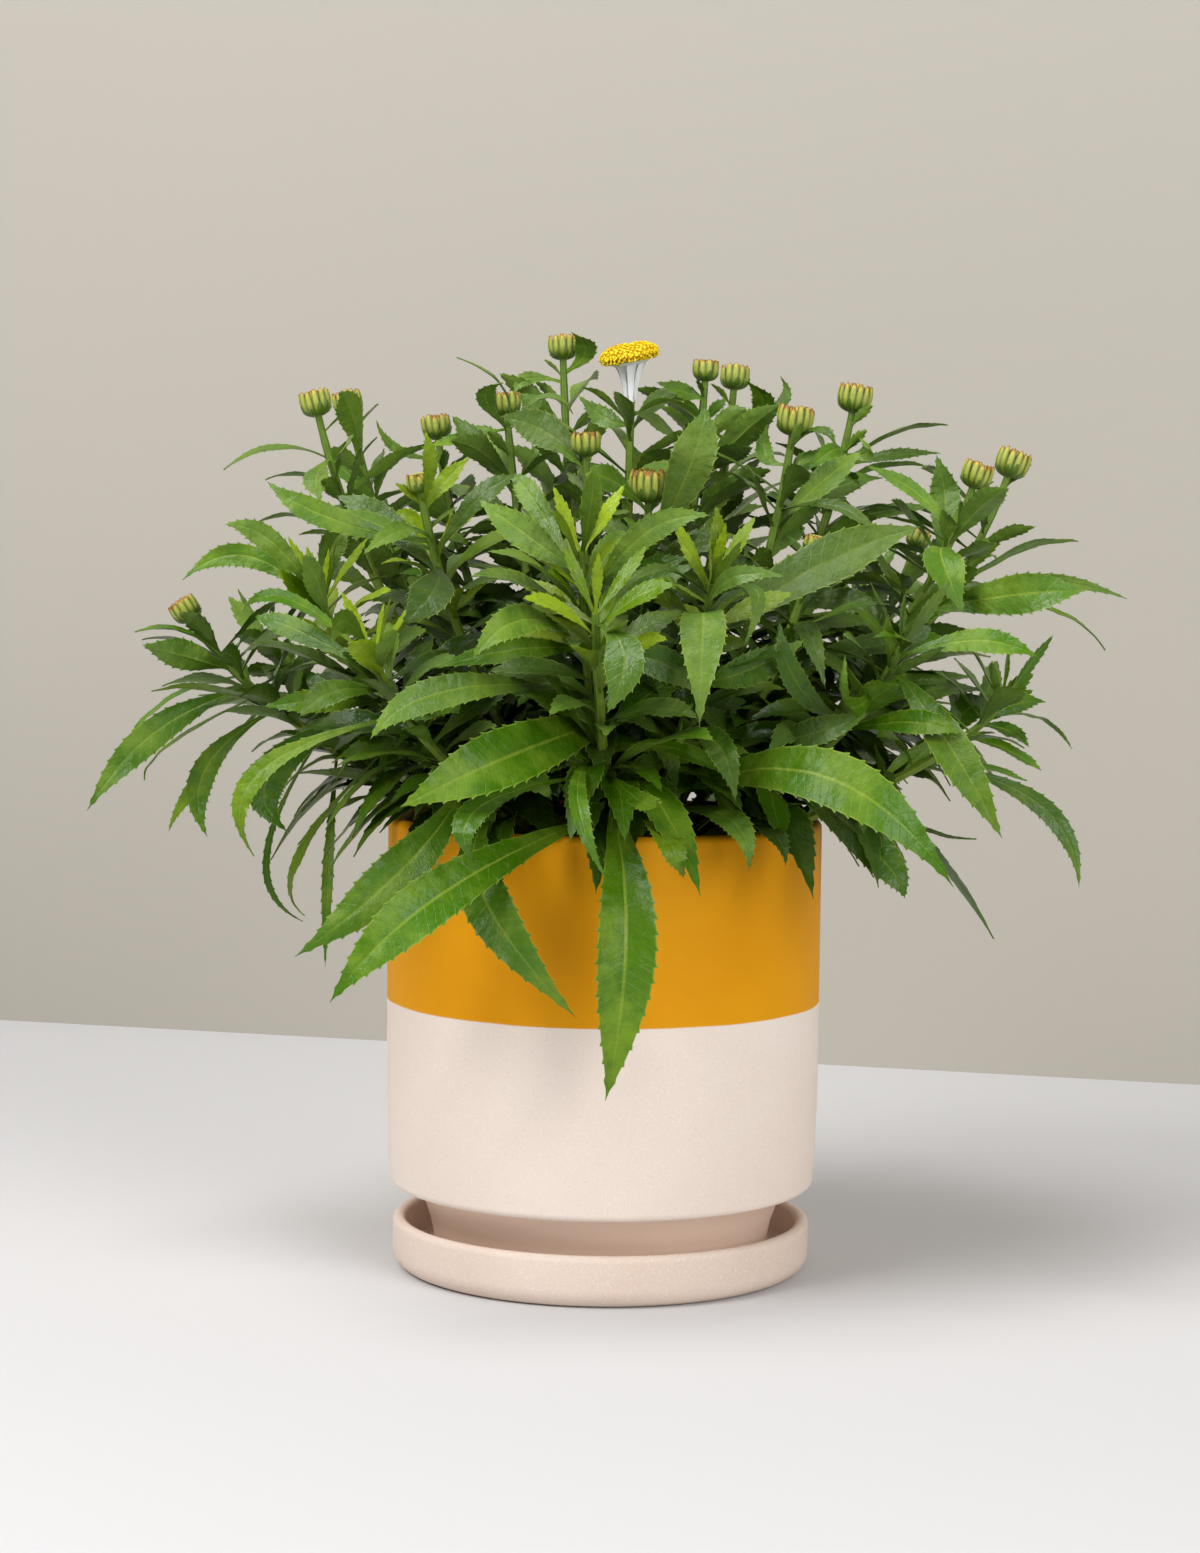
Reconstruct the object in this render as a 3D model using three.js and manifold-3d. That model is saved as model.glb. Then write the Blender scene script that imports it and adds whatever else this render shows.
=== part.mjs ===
// Shasta daisy in a two-tone ceramic pot on its saucer.
// Millimetres, +Z up. The origin is the middle of the saucer's flat underside, -Y is the front.
// Every leafy stem is one solid: a tapered stem with its toothed blades sunk into it.
// The buds, the open bloom, the soil, the pot and the saucer are solids of their own.

import * as THREE from 'three';
import { mergeVertices } from 'three/addons/utils/BufferGeometryUtils.js';
import Module from 'manifold-3d';

const wasm = await Module();
wasm.setup();

// Clearance between neighbouring solids
const GAP = 0.3;

// Saucer
const SAUCER_RADIUS = 72.5;
const SAUCER_HEIGHT = 17.8;
const SAUCER_WALL = 4.6;
const SAUCER_FLOOR = 5;
const SAUCER_EDGE = 6.5;

// Pot
const POT_RADIUS = 75;
const POT_RIM = 157;
const POT_WALL = 5.2;
const POT_BOTTOM = SAUCER_FLOOR + GAP;
const POT_FLOOR = 13;
const FOOT_RADIUS = 57;
const FOOT_TOP = 28.9;
const FOOT_TOP_RADIUS = 64.8;
const BODY_CORNER = 2.6;
const BODY_LOW_RADIUS = 73.8;
const BODY_BOTTOM = 29.5;
const BELLY_HEIGHT = 60;
const FOOT_WALL = 3.5;
const SHELF_HEIGHT = 33;
const HAUNCH_RADIUS = 66;
const HAUNCH_BOTTOM = 35;
const HAUNCH_TOP = 41;
const ROUND_SIDES = 32;

// Soil
const SOIL_LEVEL = 150;
const SOIL_RADIUS = POT_RADIUS - POT_WALL - GAP;
const SOIL_SIDES = 16;
const SOIL_LUMP = 1.6;
const SOIL_EDGE_DROP = 4;
const SOIL_FLAT = 0.56;

// Stems rise from the crown, splay outwards and then turn up
const CROWN = [5, -12];
const CROWN_SPREAD = 0.22;
const STEM_FOOT = 146;
const STEM_SPLAY = 0.78;
const STEM_KNEE = 0.5;
const STEM_BASE_RADIUS = 2.4;
const STEM_TIP_RADIUS = 1.5;
const STEM_SIDES = 5;
const STEM_STEPS = 3;

// Blades
const BLADE_THICKNESS = 0.7;
const BLADE_SHAPE_PEAK = 0.58;
const BLADE_FOOT_WIDTH = 0.9;
const BLADE_TIP_WIDTH = 0.8;
const BLADE_NOTCH = 0.8;
const TOOTH_LEAN = 0.35;
const STATION_SPACING = 14;
const TYPICAL_WIDTH = 13;
const FEWEST_SEGMENTS = 2;
const MOST_SEGMENTS = 8;
const LEAF_CLEARANCE = 0.45;
const LEAF_TRIES = 48;
const SHIFT_STEP = 0.8;
const BEND_SHARE = 0.7;
const SUNK_IN_STEM = 0.1;
const FREE_OF_STEM = 0.3;

// Buds and bloom
const BUD_RIBS = 10;
const BUD_HEIGHT = 0.8;
const BUD_GROOVE = 0.84;
const BLOOM_TILT = 11;
const BLOOM_NOD = 0.08;
const DISC_RADIUS = 10.5;
const DISC_HEIGHT = 6.2;
const DISC_SIDES = 20;
const DISC_NOTCH = 0.93;
const RECEPTACLE_HEIGHT = 1.6;
const RECEPTACLE_SIDES = 12;
const RAY_COUNT = 8;
const RAY_LENGTH = 15;
const RAY_WIDTH = 3;
const RAY_ROOT_RADIUS = 5;
const RAY_END_RADIUS = 2.2;
const RAY_HOLLOW = 1.3;

// Directions that a hand-placed blade's upper face looks in
const FRONT = [0, -1, 0.35];
const TOP = [0, -0.45, 1];
const BACK = [0, 1, 0.4];

// One row a stem: number, tip [x, y, z], width of the bud on it (0 for a leafy tip), leaves added by rule
const STEMS = [
  [1, [7, 1, 312], 0, 2],
  [2, [-101, 10, 294], 11, 2],
  [3, [-92, 38, 295], 10.5, 4],
  [4, [-61, 42, 287], 10.5, 4],
  [5, [-36, 22, 295], 10, 3],
  [6, [-17, 52, 316], 10.5, 4],
  [7, [-8, -22, 281], 10, 3],
  [8, [44, 48, 306], 10.5, 4],
  [9, [33, 22, 308], 9, 2],
  [10, [62, -12, 289], 12.5, 2],
  [11, [85, 28, 298], 12, 4],
  [12, [124, -8, 272], 11, 3],
  [13, [140, 28, 276], 12, 4],
  [14, [13, -45, 266], 13, 1],
  [15, [-144, 5, 223], 10, 1],
  [16, [68, -40, 249], 8, 3],
  [17, [111, 62, 250], 8.5, 5],
  [18, [-62, -55, 268], 8, 2],
  [19, [-9, -80, 250], 0, 2],
  [20, [33, -78, 240], 0, 1],
  [21, [-95, -50, 232], 0, 1],
  [22, [-75, -88, 215], 0, 2],
  [23, [-4, -108, 231], 0, 2],
  [24, [97, -52, 219], 0, 1],
  [25, [132, -45, 201], 0, 1],
  [26, [-123, 60, 211], 0, 7],
  [27, [-18, 110, 266], 0, 7],
  [28, [35, 118, 259], 0, 7],
  [29, [95, 105, 230], 0, 7],
  [30, [-70, 100, 232], 0, 7],
];

// Hand-placed leaves: stem, place along it, middle and tip of the midrib, width, facing
const PLACED_LEAVES = [
  [1, 0.88, [-1, 8, 294], [-11, 10, 302], 8, FRONT],
  [2, 0.90, [-115, 4, 283], [-132, -6, 275], 5, TOP],
  [2, 0.90, [-100, -6, 273], [-98, -14, 265], 10, FRONT],
  [4, 0.95, [-75, 34, 283], [-82, 28, 293], 5, FRONT],
  [5, 0.97, [-52, 14, 287], [-64, 8, 283], 6, TOP],
  [5, 0.97, [-38, 12, 304], [-54, 10, 313], 4, TOP],
  [5, 0.97, [-23, 26, 302], [-13, 20, 296], 6, TOP],
  [5, 0.97, [-43, 10, 301], [-37, 4, 306], 8, FRONT],
  [5, 0.97, [-29, 28, 301], [-35, 32, 306], 8, FRONT],
  [5, 0.59, [-16, -40, 246], [-29, -50, 259], 9, FRONT],
  [6, 0.95, [-29, 46, 309], [-34, 44, 303], 6, FRONT],
  [6, 0.97, [-9, 48, 319], [-14, 40, 325], 9, FRONT],
  [7, 0.97, [-21, -16, 290], [-37, -14, 296], 14, FRONT],
  [7, 0.66, [10, -48, 243], [27, -56, 248], 9, FRONT],
  [8, 0.92, [54, 38, 300], [47, 32, 309], 9, FRONT],
  [8, 0.92, [61, 54, 301], [61, 56, 311], 5, FRONT],
  [9, 0.96, [26, 18, 304], [16, 12, 307], 7, FRONT],
  [10, 0.86, [32, -8, 284], [14, -4, 280], 6, TOP],
  [10, 0.93, [53, -8, 282], [54, -6, 293], 7, FRONT],
  [10, 0.97, [70, -20, 291], [76, -26, 285], 6, TOP],
  [10, 0.82, [76, -24, 265], [91, -34, 255], 7, TOP],
  [10, 0.55, [77, -30, 234], [91, -34, 225], 10, FRONT],
  [11, 0.91, [77, 18, 284], [68, 12, 277], 8, FRONT],
  [11, 0.90, [90, 22, 284], [87, 20, 289], 8, FRONT],
  [11, 0.87, [98, 34, 283], [117, 34, 284], 5, FRONT],
  [11, 0.76, [73, 16, 271], [86, 8, 263], 8, FRONT],
  [11, 0.73, [96, 36, 263], [116, 40, 265], 6, FRONT],
  [12, 0.87, [105, -4, 270], [88, 0, 279], 7, FRONT],
  [12, 0.78, [116, 6, 264], [113, 8, 283], 12, FRONT],
  [12, 0.83, [112, -26, 248], [119, -36, 230], 15, FRONT],
  [12, 0.66, [135, -30, 236], [159, -36, 238], 15, FRONT],
  [13, 0.68, [151, 16, 240], [181, 14, 234], 6, FRONT],
  [13, 0.65, [155, 34, 230], [177, 36, 215], 4, TOP],
  [14, 0.17, [18, -96, 162], [25, -102, 147], 12, TOP],
  [20, 0.17, [39, -84, 165], [46, -94, 149], 10, TOP],
  [14, 0.41, [-24, -112, 190], [-61, -132, 174], 21, FRONT],
  [14, 0.85, [26, -56, 277], [31, -52, 297], 16, FRONT],
  [14, 0.97, [4, -52, 279], [-4, -54, 283], 10, FRONT],
  [20, 0.20, [66, -104, 181], [110, -108, 146], 20, FRONT],
  [19, 0.44, [-15, -80, 203], [-45, -88, 205], 13, FRONT],
  [15, 0.78, [-144, -6, 211], [-159, -12, 215], 12, BACK],
  [15, 0.80, [-142, 4, 220], [-159, 6, 220], 8, TOP],
  [15, 0.75, [-154, 8, 194], [-168, 2, 175], 6, TOP],
  [15, 0.70, [-153, -14, 186], [-176, -24, 159], 12, FRONT],
  [15, 0.67, [-153, 16, 179], [-162, 18, 166], 5, TOP],
  [15, 0.64, [-143, 26, 167], [-155, 30, 147], 6, FRONT],
  [15, 0.61, [-138, -2, 172], [-137, -8, 149], 10, FRONT],
  [16, 0.12, [50, -76, 162], [58, -88, 150], 9, TOP],
  [16, 0.39, [84, -64, 157], [98, -70, 138], 14, FRONT],
  [16, 0.75, [65, -60, 225], [71, -70, 206], 8, FRONT],
  [16, 0.38, [63, -66, 190], [86, -62, 198], 12, FRONT],
  [18, 0.87, [-90, -62, 259], [-112, -58, 271], 10, FRONT],
  [18, 0.83, [-43, -58, 266], [-31, -56, 274], 9, FRONT],
  [18, 0.95, [-55, -52, 271], [-46, -52, 280], 7, FRONT],
  [18, 0.97, [-61, -60, 275], [-64, -60, 285], 6, FRONT],
  [18, 0.88, [-67, -72, 256], [-79, -82, 248], 8, FRONT],
  [18, 0.80, [-56, -80, 237], [-66, -88, 226], 15, FRONT],
  [18, 0.59, [-50, -84, 205], [-67, -90, 196], 12, FRONT],
  [19, 0.35, [-9, -116, 174], [0, -122, 149], 7, TOP],
  [19, 0.56, [-50, -104, 206], [-74, -114, 191], 12, FRONT],
  [19, 0.71, [-26, -112, 229], [-42, -122, 217], 12, FRONT],
  [19, 0.80, [10, -94, 255], [32, -98, 262], 10, FRONT],
  [19, 0.98, [-6, -86, 264], [-5, -88, 278], 8, FRONT],
  [19, 0.93, [-25, -88, 254], [-42, -84, 266], 12, FRONT],
  [19, 0.89, [-24, -62, 265], [-32, -52, 274], 9, FRONT],
  [19, 0.80, [-22, -100, 245], [-38, -108, 250], 10, TOP],
  [19, 0.68, [-28, -92, 218], [-58, -98, 211], 9, FRONT],
  [20, 0.81, [30, -100, 229], [29, -112, 196], 16, FRONT],
  [20, 0.96, [16, -92, 245], [4, -96, 236], 5, TOP],
  [20, 0.88, [38, -98, 242], [56, -102, 243], 7, FRONT],
  [20, 0.95, [47, -88, 238], [43, -94, 220], 6, FRONT],
  [20, 0.98, [35, -82, 253], [34, -82, 265], 6, FRONT],
  [20, 0.96, [27, -80, 248], [21, -82, 257], 5, FRONT],
  [20, 0.78, [65, -62, 244], [102, -58, 259], 19, FRONT],
  [20, 0.65, [45, -78, 212], [64, -70, 222], 12, FRONT],
  [20, 0.47, [35, -98, 190], [41, -104, 172], 10, FRONT],
  [21, 0.98, [-110, -60, 251], [-125, -66, 257], 9, FRONT],
  [21, 0.94, [-119, -40, 246], [-142, -38, 238], 9, FRONT],
  [21, 0.98, [-101, -58, 235], [-107, -66, 243], 8, FRONT],
  [21, 0.98, [-98, -54, 242], [-101, -52, 250], 5, FRONT],
  [21, 0.96, [-92, -44, 249], [-85, -42, 256], 10, FRONT],
  [21, 0.60, [-111, -44, 175], [-105, -52, 155], 14, FRONT],
  [21, 0.50, [-103, -20, 146], [-102, -24, 124], 6, TOP],
  [21, 0.61, [-91, -66, 200], [-112, -70, 198], 10, FRONT],
  [22, 0.96, [-101, -84, 233], [-117, -92, 230], 6, FRONT],
  [22, 0.93, [-100, -74, 223], [-115, -66, 227], 9, FRONT],
  [22, 0.98, [-83, -98, 227], [-87, -106, 220], 9, FRONT],
  [22, 0.73, [-110, -96, 179], [-112, -98, 152], 8, FRONT],
  [22, 0.40, [-63, -100, 150], [-98, -106, 121], 17, FRONT],
  [22, 0.84, [-86, -98, 205], [-97, -104, 197], 10, FRONT],
  [23, 0.37, [-39, -122, 171], [-39, -130, 153], 10, TOP],
  [23, 0.39, [11, -120, 173], [17, -128, 174], 8, FRONT],
  [23, 0.96, [5, -124, 219], [0, -128, 201], 14, FRONT],
  [23, 0.20, [-50, -120, 144], [-85, -130, 110], 18, FRONT],
  [22, 0.25, [-31, -108, 146], [4, -112, 105], 17, FRONT],
  [23, 0.31, [7, -108, 132], [1, -100, 75], 21, FRONT],
  [23, 0.82, [15, -98, 216], [29, -96, 205], 12, FRONT],
  [24, 0.95, [120, -62, 222], [140, -68, 217], 10, FRONT],
  [24, 0.97, [96, -62, 223], [86, -72, 223], 9, TOP],
  [24, 0.84, [78, -80, 201], [76, -88, 218], 10, FRONT],
  [24, 0.91, [109, -82, 191], [127, -92, 160], 14, FRONT],
  [24, 0.61, [97, -76, 196], [114, -84, 193], 10, FRONT],
  [24, 0.50, [99, -40, 161], [124, -44, 155], 6, TOP],
  [24, 0.65, [62, -84, 203], [55, -92, 223], 9, FRONT],
  [25, 0.92, [137, -24, 200], [144, -26, 204], 8, FRONT],
  [25, 0.89, [147, -10, 194], [160, -8, 183], 5, TOP],
  [25, 0.85, [134, -34, 191], [141, -42, 186], 8, TOP],
  [25, 0.78, [133, -40, 185], [144, -52, 179], 9, TOP],
  [25, 0.67, [126, -58, 180], [137, -72, 177], 7, TOP],
  [25, 0.62, [147, -30, 165], [160, -34, 138], 8, FRONT],
  [26, 0.62, [-121, 44, 139], [-108, 40, 114], 4, TOP],
  [26, 0.59, [-97, 20, 138], [-98, 16, 101], 5, TOP],
];

// Leaves added by rule: they wind up the stem by the golden angle, long and arching below, short above
const GOLDEN_ANGLE = 137.5;
const RULE_FROM = 0.16;
const RULE_TO = 0.98;
const LOW_LEAF = { length: 82, rise: 30, droop: 0.5 };
const HIGH_LEAF = { length: 38, rise: 46, droop: 0.22 };
const LEAF_SLENDERNESS = 0.22;
const OUTWARD_LEAN = 0.9;
const TURN_JITTER = 14;
const TURN_WIDEN = 4.5;
const RISE_JITTER = 9;
const RISE_WIDEN = 1.2;
const SHORTEN = 0.011;
const LENGTH_JITTER = 0.18;
const DROOP_JITTER = 0.4;
const ARCH = 0.55;
const AGEING = 1.5;
const TURN_PER_STEM = 61;
const LOWEST_LEAF = 96;
const RULE_SEED = 1000;
const SEEDS_PER_STEM = 40;

const point = ([x, y, z]) => new THREE.Vector3(x, y, z);
const degrees = (angle) => THREE.MathUtils.degToRad(angle);
const mix = THREE.MathUtils.lerp;

// A repeatable stream of numbers from 0 to 1
const randomStream = (seed) => {
  let state = (seed * 7919 + 104729) % 2147483647;
  const next = () => {
    state = (state * 16807) % 2147483647;
    return state / 2147483647;
  };
  next();
  return next;
};

// Closed body through rings of points that all turn right-handed about the way they advance.
// Side number `flipped` takes the other diagonal, so that a blade's two faces split alike.
const loft = (rings, flipped = -1) => {
  const sides = rings[0].length;
  const positions = rings.flat().flatMap((corner) => corner.toArray());
  const index = [];
  for (let row = 0; row + 1 < rings.length; row++) {
    for (let side = 0; side < sides; side++) {
      const a = row * sides + side;
      const b = row * sides + (side + 1) % sides;
      const c = b + sides;
      const d = a + sides;
      index.push(...(side === flipped ? [a, b, d, b, c, d] : [a, b, c, a, c, d]));
    }
  }
  const last = (rings.length - 1) * sides;
  for (let side = 1; side + 1 < sides; side++) {
    index.push(0, side + 1, side, last, last + side, last + side + 1);
  }
  const geometry = new THREE.BufferGeometry();
  geometry.setAttribute('position', new THREE.Float32BufferAttribute(positions, 3));
  geometry.setIndex(index);
  return geometry;
};

const toSolid = (geometry) => {
  const bare = geometry.clone();
  bare.deleteAttribute('normal');
  bare.deleteAttribute('uv');
  const welded = mergeVertices(bare, 1e-4);
  const corners = Array.from(welded.index.array);
  const kept = [];
  for (let i = 0; i < corners.length; i += 3) {
    const [a, b, c] = corners.slice(i, i + 3);
    if (a !== b && b !== c && c !== a) kept.push(a, b, c);
  }
  return new wasm.Manifold(new wasm.Mesh({
    numProp: 3,
    vertProperties: new Float32Array(welded.attributes.position.array),
    triVerts: new Uint32Array(kept),
  }));
};

const toGeometry = (solid) => {
  const mesh = solid.getMesh();
  const geometry = new THREE.BufferGeometry();
  geometry.setAttribute('position', new THREE.BufferAttribute(mesh.vertProperties, 3));
  geometry.setIndex(new THREE.BufferAttribute(mesh.triVerts, 1));
  return geometry;
};

// Ring of points round a centre, across an axis
const ring = (centre, side, front, count, radiusAt) => Array.from({ length: count }, (_, i) => {
  const angle = 2 * Math.PI * i / count;
  const radius = radiusAt(i);
  return centre.clone()
    .addScaledVector(side, radius * Math.cos(angle))
    .addScaledVector(front, radius * Math.sin(angle));
});

const squareTo = (direction, wish) => {
  const across = wish.clone().addScaledVector(direction, -wish.dot(direction));
  return across.normalize();
};

// Pot and saucer
const arc = (r, z, radius, from, to, steps) => Array.from({ length: steps + 1 }, (_, i) => {
  const angle = degrees(mix(from, to, i / steps));
  return [r + radius * Math.cos(angle), z + radius * Math.sin(angle)];
});

const turned = (outline) => {
  const points = outline.map(([r, z]) => new THREE.Vector2(r, z));
  return new THREE.LatheGeometry(points, ROUND_SIDES).rotateX(Math.PI / 2);
};

// Inside of the pot from its wall down to its floor, drawn in by a gap where the soil follows it
const potInside = (gap) => [
  [POT_RADIUS - POT_WALL - gap, HAUNCH_TOP + gap],
  [HAUNCH_RADIUS - gap, HAUNCH_BOTTOM + gap],
  [FOOT_TOP_RADIUS - POT_WALL - gap, SHELF_HEIGHT + gap],
  [FOOT_RADIUS - FOOT_WALL - gap, POT_FLOOR + gap],
];

const potGeometry = () => {
  const lip = POT_WALL / 2;
  return turned([
    [0, POT_BOTTOM],
    [FOOT_RADIUS, POT_BOTTOM],
    [mix(FOOT_RADIUS, FOOT_TOP_RADIUS, 0.35), mix(POT_BOTTOM, FOOT_TOP, 0.5)],
    [FOOT_TOP_RADIUS, FOOT_TOP],
    ...arc(BODY_LOW_RADIUS - BODY_CORNER, BODY_BOTTOM + BODY_CORNER, BODY_CORNER, -90, 0, 2),
    [POT_RADIUS, BELLY_HEIGHT],
    ...arc(POT_RADIUS - lip, POT_RIM - lip, lip, 0, 180, 3),
    ...potInside(0),
    [0, POT_FLOOR],
  ]);
};

const saucerGeometry = () => {
  const lip = SAUCER_WALL / 2;
  const inner = SAUCER_RADIUS - SAUCER_WALL;
  return turned([
    [0, 0],
    ...arc(SAUCER_RADIUS - SAUCER_EDGE, SAUCER_EDGE, SAUCER_EDGE, -90, 0, 3),
    ...arc(SAUCER_RADIUS - lip, SAUCER_HEIGHT - lip, lip, 0, 180, 3),
    [inner, SAUCER_FLOOR + 2],
    [inner - 2, SAUCER_FLOOR],
    [0, SAUCER_FLOOR],
  ]);
};

// Stems
const stemCurve = ([x, y, z]) => {
  const foot = [mix(CROWN[0], x, CROWN_SPREAD), mix(CROWN[1], y, CROWN_SPREAD)];
  return new THREE.QuadraticBezierCurve3(
    point([...foot, STEM_FOOT]),
    point([mix(foot[0], x, STEM_SPLAY), mix(foot[1], y, STEM_SPLAY), mix(STEM_FOOT, z, STEM_KNEE)]),
    point([x, y, z]),
  );
};

const stemGeometry = (curve, steps = STEM_STEPS, extra = 0) => {
  const rings = [];
  for (let step = 0; step <= steps; step++) {
    const t = step / STEM_STEPS;
    const along = curve.getTangent(t);
    const side = squareTo(along, new THREE.Vector3(1, 0, 0));
    const front = along.clone().cross(side);
    const radius = mix(STEM_BASE_RADIUS, STEM_TIP_RADIUS, t) + extra;
    const centre = curve.getPoint(t).addScaledVector(along, step === 0 ? -extra : 0);
    rings.push(ring(centre, side, front, STEM_SIDES, () => radius));
  }
  return loft(rings);
};

// Place on the middle line of the stem as it is built, in straight steps
const alongStem = (curve, t) => {
  const step = Math.min(Math.floor(t * STEM_STEPS), STEM_STEPS - 1);
  const end = curve.getPoint((step + 1) / STEM_STEPS);
  return curve.getPoint(step / STEM_STEPS).lerp(end, t * STEM_STEPS - step);
};

// Half-width of a blade along its length, from 0 at the foot to 1 at the tip
const bladeShape = (t) => (t < BLADE_SHAPE_PEAK
  ? Math.sin(t / BLADE_SHAPE_PEAK * Math.PI / 2) ** 1.3
  : Math.cos((t - BLADE_SHAPE_PEAK) / (1 - BLADE_SHAPE_PEAK) * Math.PI / 2) ** 0.75);

// A blade: midrib from root past control to tip, width, and the direction across it
const bladeGeometry = (leaf, from = 0, extra = 0) => {
  const midrib = new THREE.QuadraticBezierCurve3(leaf.root, leaf.control, leaf.tip);
  const length = leaf.root.distanceTo(leaf.control) + leaf.control.distanceTo(leaf.tip);
  const wanted = Math.round(length / STATION_SPACING * Math.sqrt(leaf.width / TYPICAL_WIDTH));
  const segments = THREE.MathUtils.clamp(wanted, FEWEST_SEGMENTS, MOST_SEGMENTS);
  const rings = [];
  for (let i = 0; i <= segments; i++) {
    const t = Math.max(from, i / segments);
    if (i / segments < from && (i + 1) / segments <= from) continue;
    const along = midrib.getTangent(Math.max(t, 1 / segments));
    const across = squareTo(along, leaf.across);
    const top = along.clone().cross(across);
    const notch = i > 0 && i % 2 === 0 ? BLADE_NOTCH : 1;
    const lean = i % 2 === 1 ? TOOTH_LEAN * length / segments : 0;
    const least = (i === segments ? BLADE_TIP_WIDTH : BLADE_FOOT_WIDTH) / 2;
    const half = Math.max(leaf.width / 2 * bladeShape(t) * notch, least) + extra;
    const thick = BLADE_THICKNESS / 2 + extra;
    const middle = midrib.getPoint(t).addScaledVector(along, i === segments ? extra : lean);
    rings.push([[1, -1], [1, 1], [-1, 1], [-1, -1]].map(([a, b]) => middle.clone()
      .addScaledVector(across, a * half)
      .addScaledVector(top, b * thick)));
  }
  return loft(rings, 3);
};

// Everything placed so far, which a new leaf has to stay clear of
const placed = [];
const place = (owner, geometry) => {
  geometry.computeBoundingBox();
  placed.push({ owner, solid: toSolid(geometry), box: geometry.boundingBox });
};

const meets = (geometry, isNeighbour) => {
  geometry.computeBoundingBox();
  const near = placed.filter((other) => isNeighbour(other)
    && other.box.intersectsBox(geometry.boundingBox));
  if (near.length === 0) return false;
  const solid = toSolid(geometry);
  const hit = near.some((other) => {
    const shared = solid.intersect(other.solid);
    const touches = !shared.isEmpty();
    shared.delete();
    return touches;
  });
  solid.delete();
  return hit;
};

const isClear = (leaf, owner) => {
  const whole = bladeGeometry(leaf, SUNK_IN_STEM, LEAF_CLEARANCE);
  if (meets(whole, (other) => other.owner !== owner)) return false;
  const outer = bladeGeometry(leaf, FREE_OF_STEM, LEAF_CLEARANCE);
  return !meets(outer, (other) => other.owner === owner);
};

const midribControl = (root, middle, tip) => middle.clone().multiplyScalar(2)
  .addScaledVector(root, -0.5).addScaledVector(tip, -0.5);

// The first try is the leaf as listed, and each later one bends it a little further aside
const placedLeaf = ([, at, middle, tip, width, facing], curve, random, attempt) => {
  const shift = new THREE.Vector3(random() - 0.5, 2 * random() - 1, random() - 0.5);
  shift.normalize().multiplyScalar(attempt * SHIFT_STEP);
  const root = alongStem(curve, at);
  const end = point(tip).add(shift);
  const bend = point(middle).addScaledVector(shift, BEND_SHARE);
  const across = point(facing).cross(end.clone().sub(root));
  return { root, control: midribControl(root, bend, end), tip: end, width, across };
};

const ruledLeaf = (number, count, total, curve, random, attempt) => {
  const height = mix(RULE_FROM, RULE_TO, (count + 0.5) / total);
  const age = height ** AGEING;
  const wobble = () => 2 * random() - 1;
  const turn = number * TURN_PER_STEM + count * GOLDEN_ANGLE
    + wobble() * (TURN_JITTER + TURN_WIDEN * attempt);
  const rise = mix(LOW_LEAF.rise, HIGH_LEAF.rise, age)
    + wobble() * (RISE_JITTER + RISE_WIDEN * attempt);
  const grown = mix(LOW_LEAF.length, HIGH_LEAF.length, age) * (1 + LENGTH_JITTER * wobble());
  const length = grown * (1 - SHORTEN * attempt);
  const droop = mix(LOW_LEAF.droop, HIGH_LEAF.droop, age) * (1 + DROOP_JITTER * wobble());
  const out = new THREE.Vector3(Math.cos(degrees(turn)), Math.sin(degrees(turn)), 0);
  const aim = out.clone().multiplyScalar(Math.cos(degrees(rise)));
  aim.z = Math.sin(degrees(rise));
  const root = alongStem(curve, height);
  const control = root.clone().addScaledVector(aim, length * ARCH);
  const tip = root.clone().addScaledVector(aim, length);
  tip.z -= droop * length;
  const outward = new THREE.Vector3(tip.x, tip.y, 0).normalize().multiplyScalar(OUTWARD_LEAN);
  outward.z = 1;
  const across = outward.cross(tip.clone().sub(root));
  return tip.z < LOWEST_LEAF ? null : { root, control, tip, width: length * LEAF_SLENDERNESS, across };
};

// Stem numbers, rows and tries give every leaf a stream of its own
const firstClear = (seed, owner, build) => {
  const random = randomStream(seed);
  for (let attempt = 0; attempt < LEAF_TRIES; attempt++) {
    const leaf = build(random, attempt);
    if (leaf && isClear(leaf, owner)) return leaf;
  }
  return null;
};

// Bud: a squat ribbed cup of bracts with a notched, slightly sunken top
const budGeometry = (curve, width) => {
  const along = curve.getTangent(1);
  const side = squareTo(along, new THREE.Vector3(1, 0, 0));
  const front = along.clone().cross(side);
  const height = width * BUD_HEIGHT;
  const base = curve.getPoint(1).addScaledVector(along, GAP);
  const outline = [[0.36, 0], [0.92, 0.22], [1, 0.6], [0.88, 1], [0.5, 0.88]];
  return loft(outline.map(([r, h], row) => ring(
    base.clone().addScaledVector(along, h * height),
    side,
    front,
    BUD_RIBS,
    (i) => r * width / 2 * (i % 2 === 0 || row === 0 ? 1 : BUD_GROOVE),
  )));
};

// Open bloom: a tilted dome of disc florets, with its white rays folded down round the stalk
const bloomFrame = (curve) => {
  const tilt = degrees(BLOOM_TILT);
  const along = point([-Math.sin(tilt), -BLOOM_NOD, Math.cos(tilt)]).normalize();
  const side = squareTo(along, new THREE.Vector3(1, 0, 0));
  const front = along.clone().cross(side);
  return { along, side, front, top: curve.getPoint(1).addScaledVector(along, GAP) };
};

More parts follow.
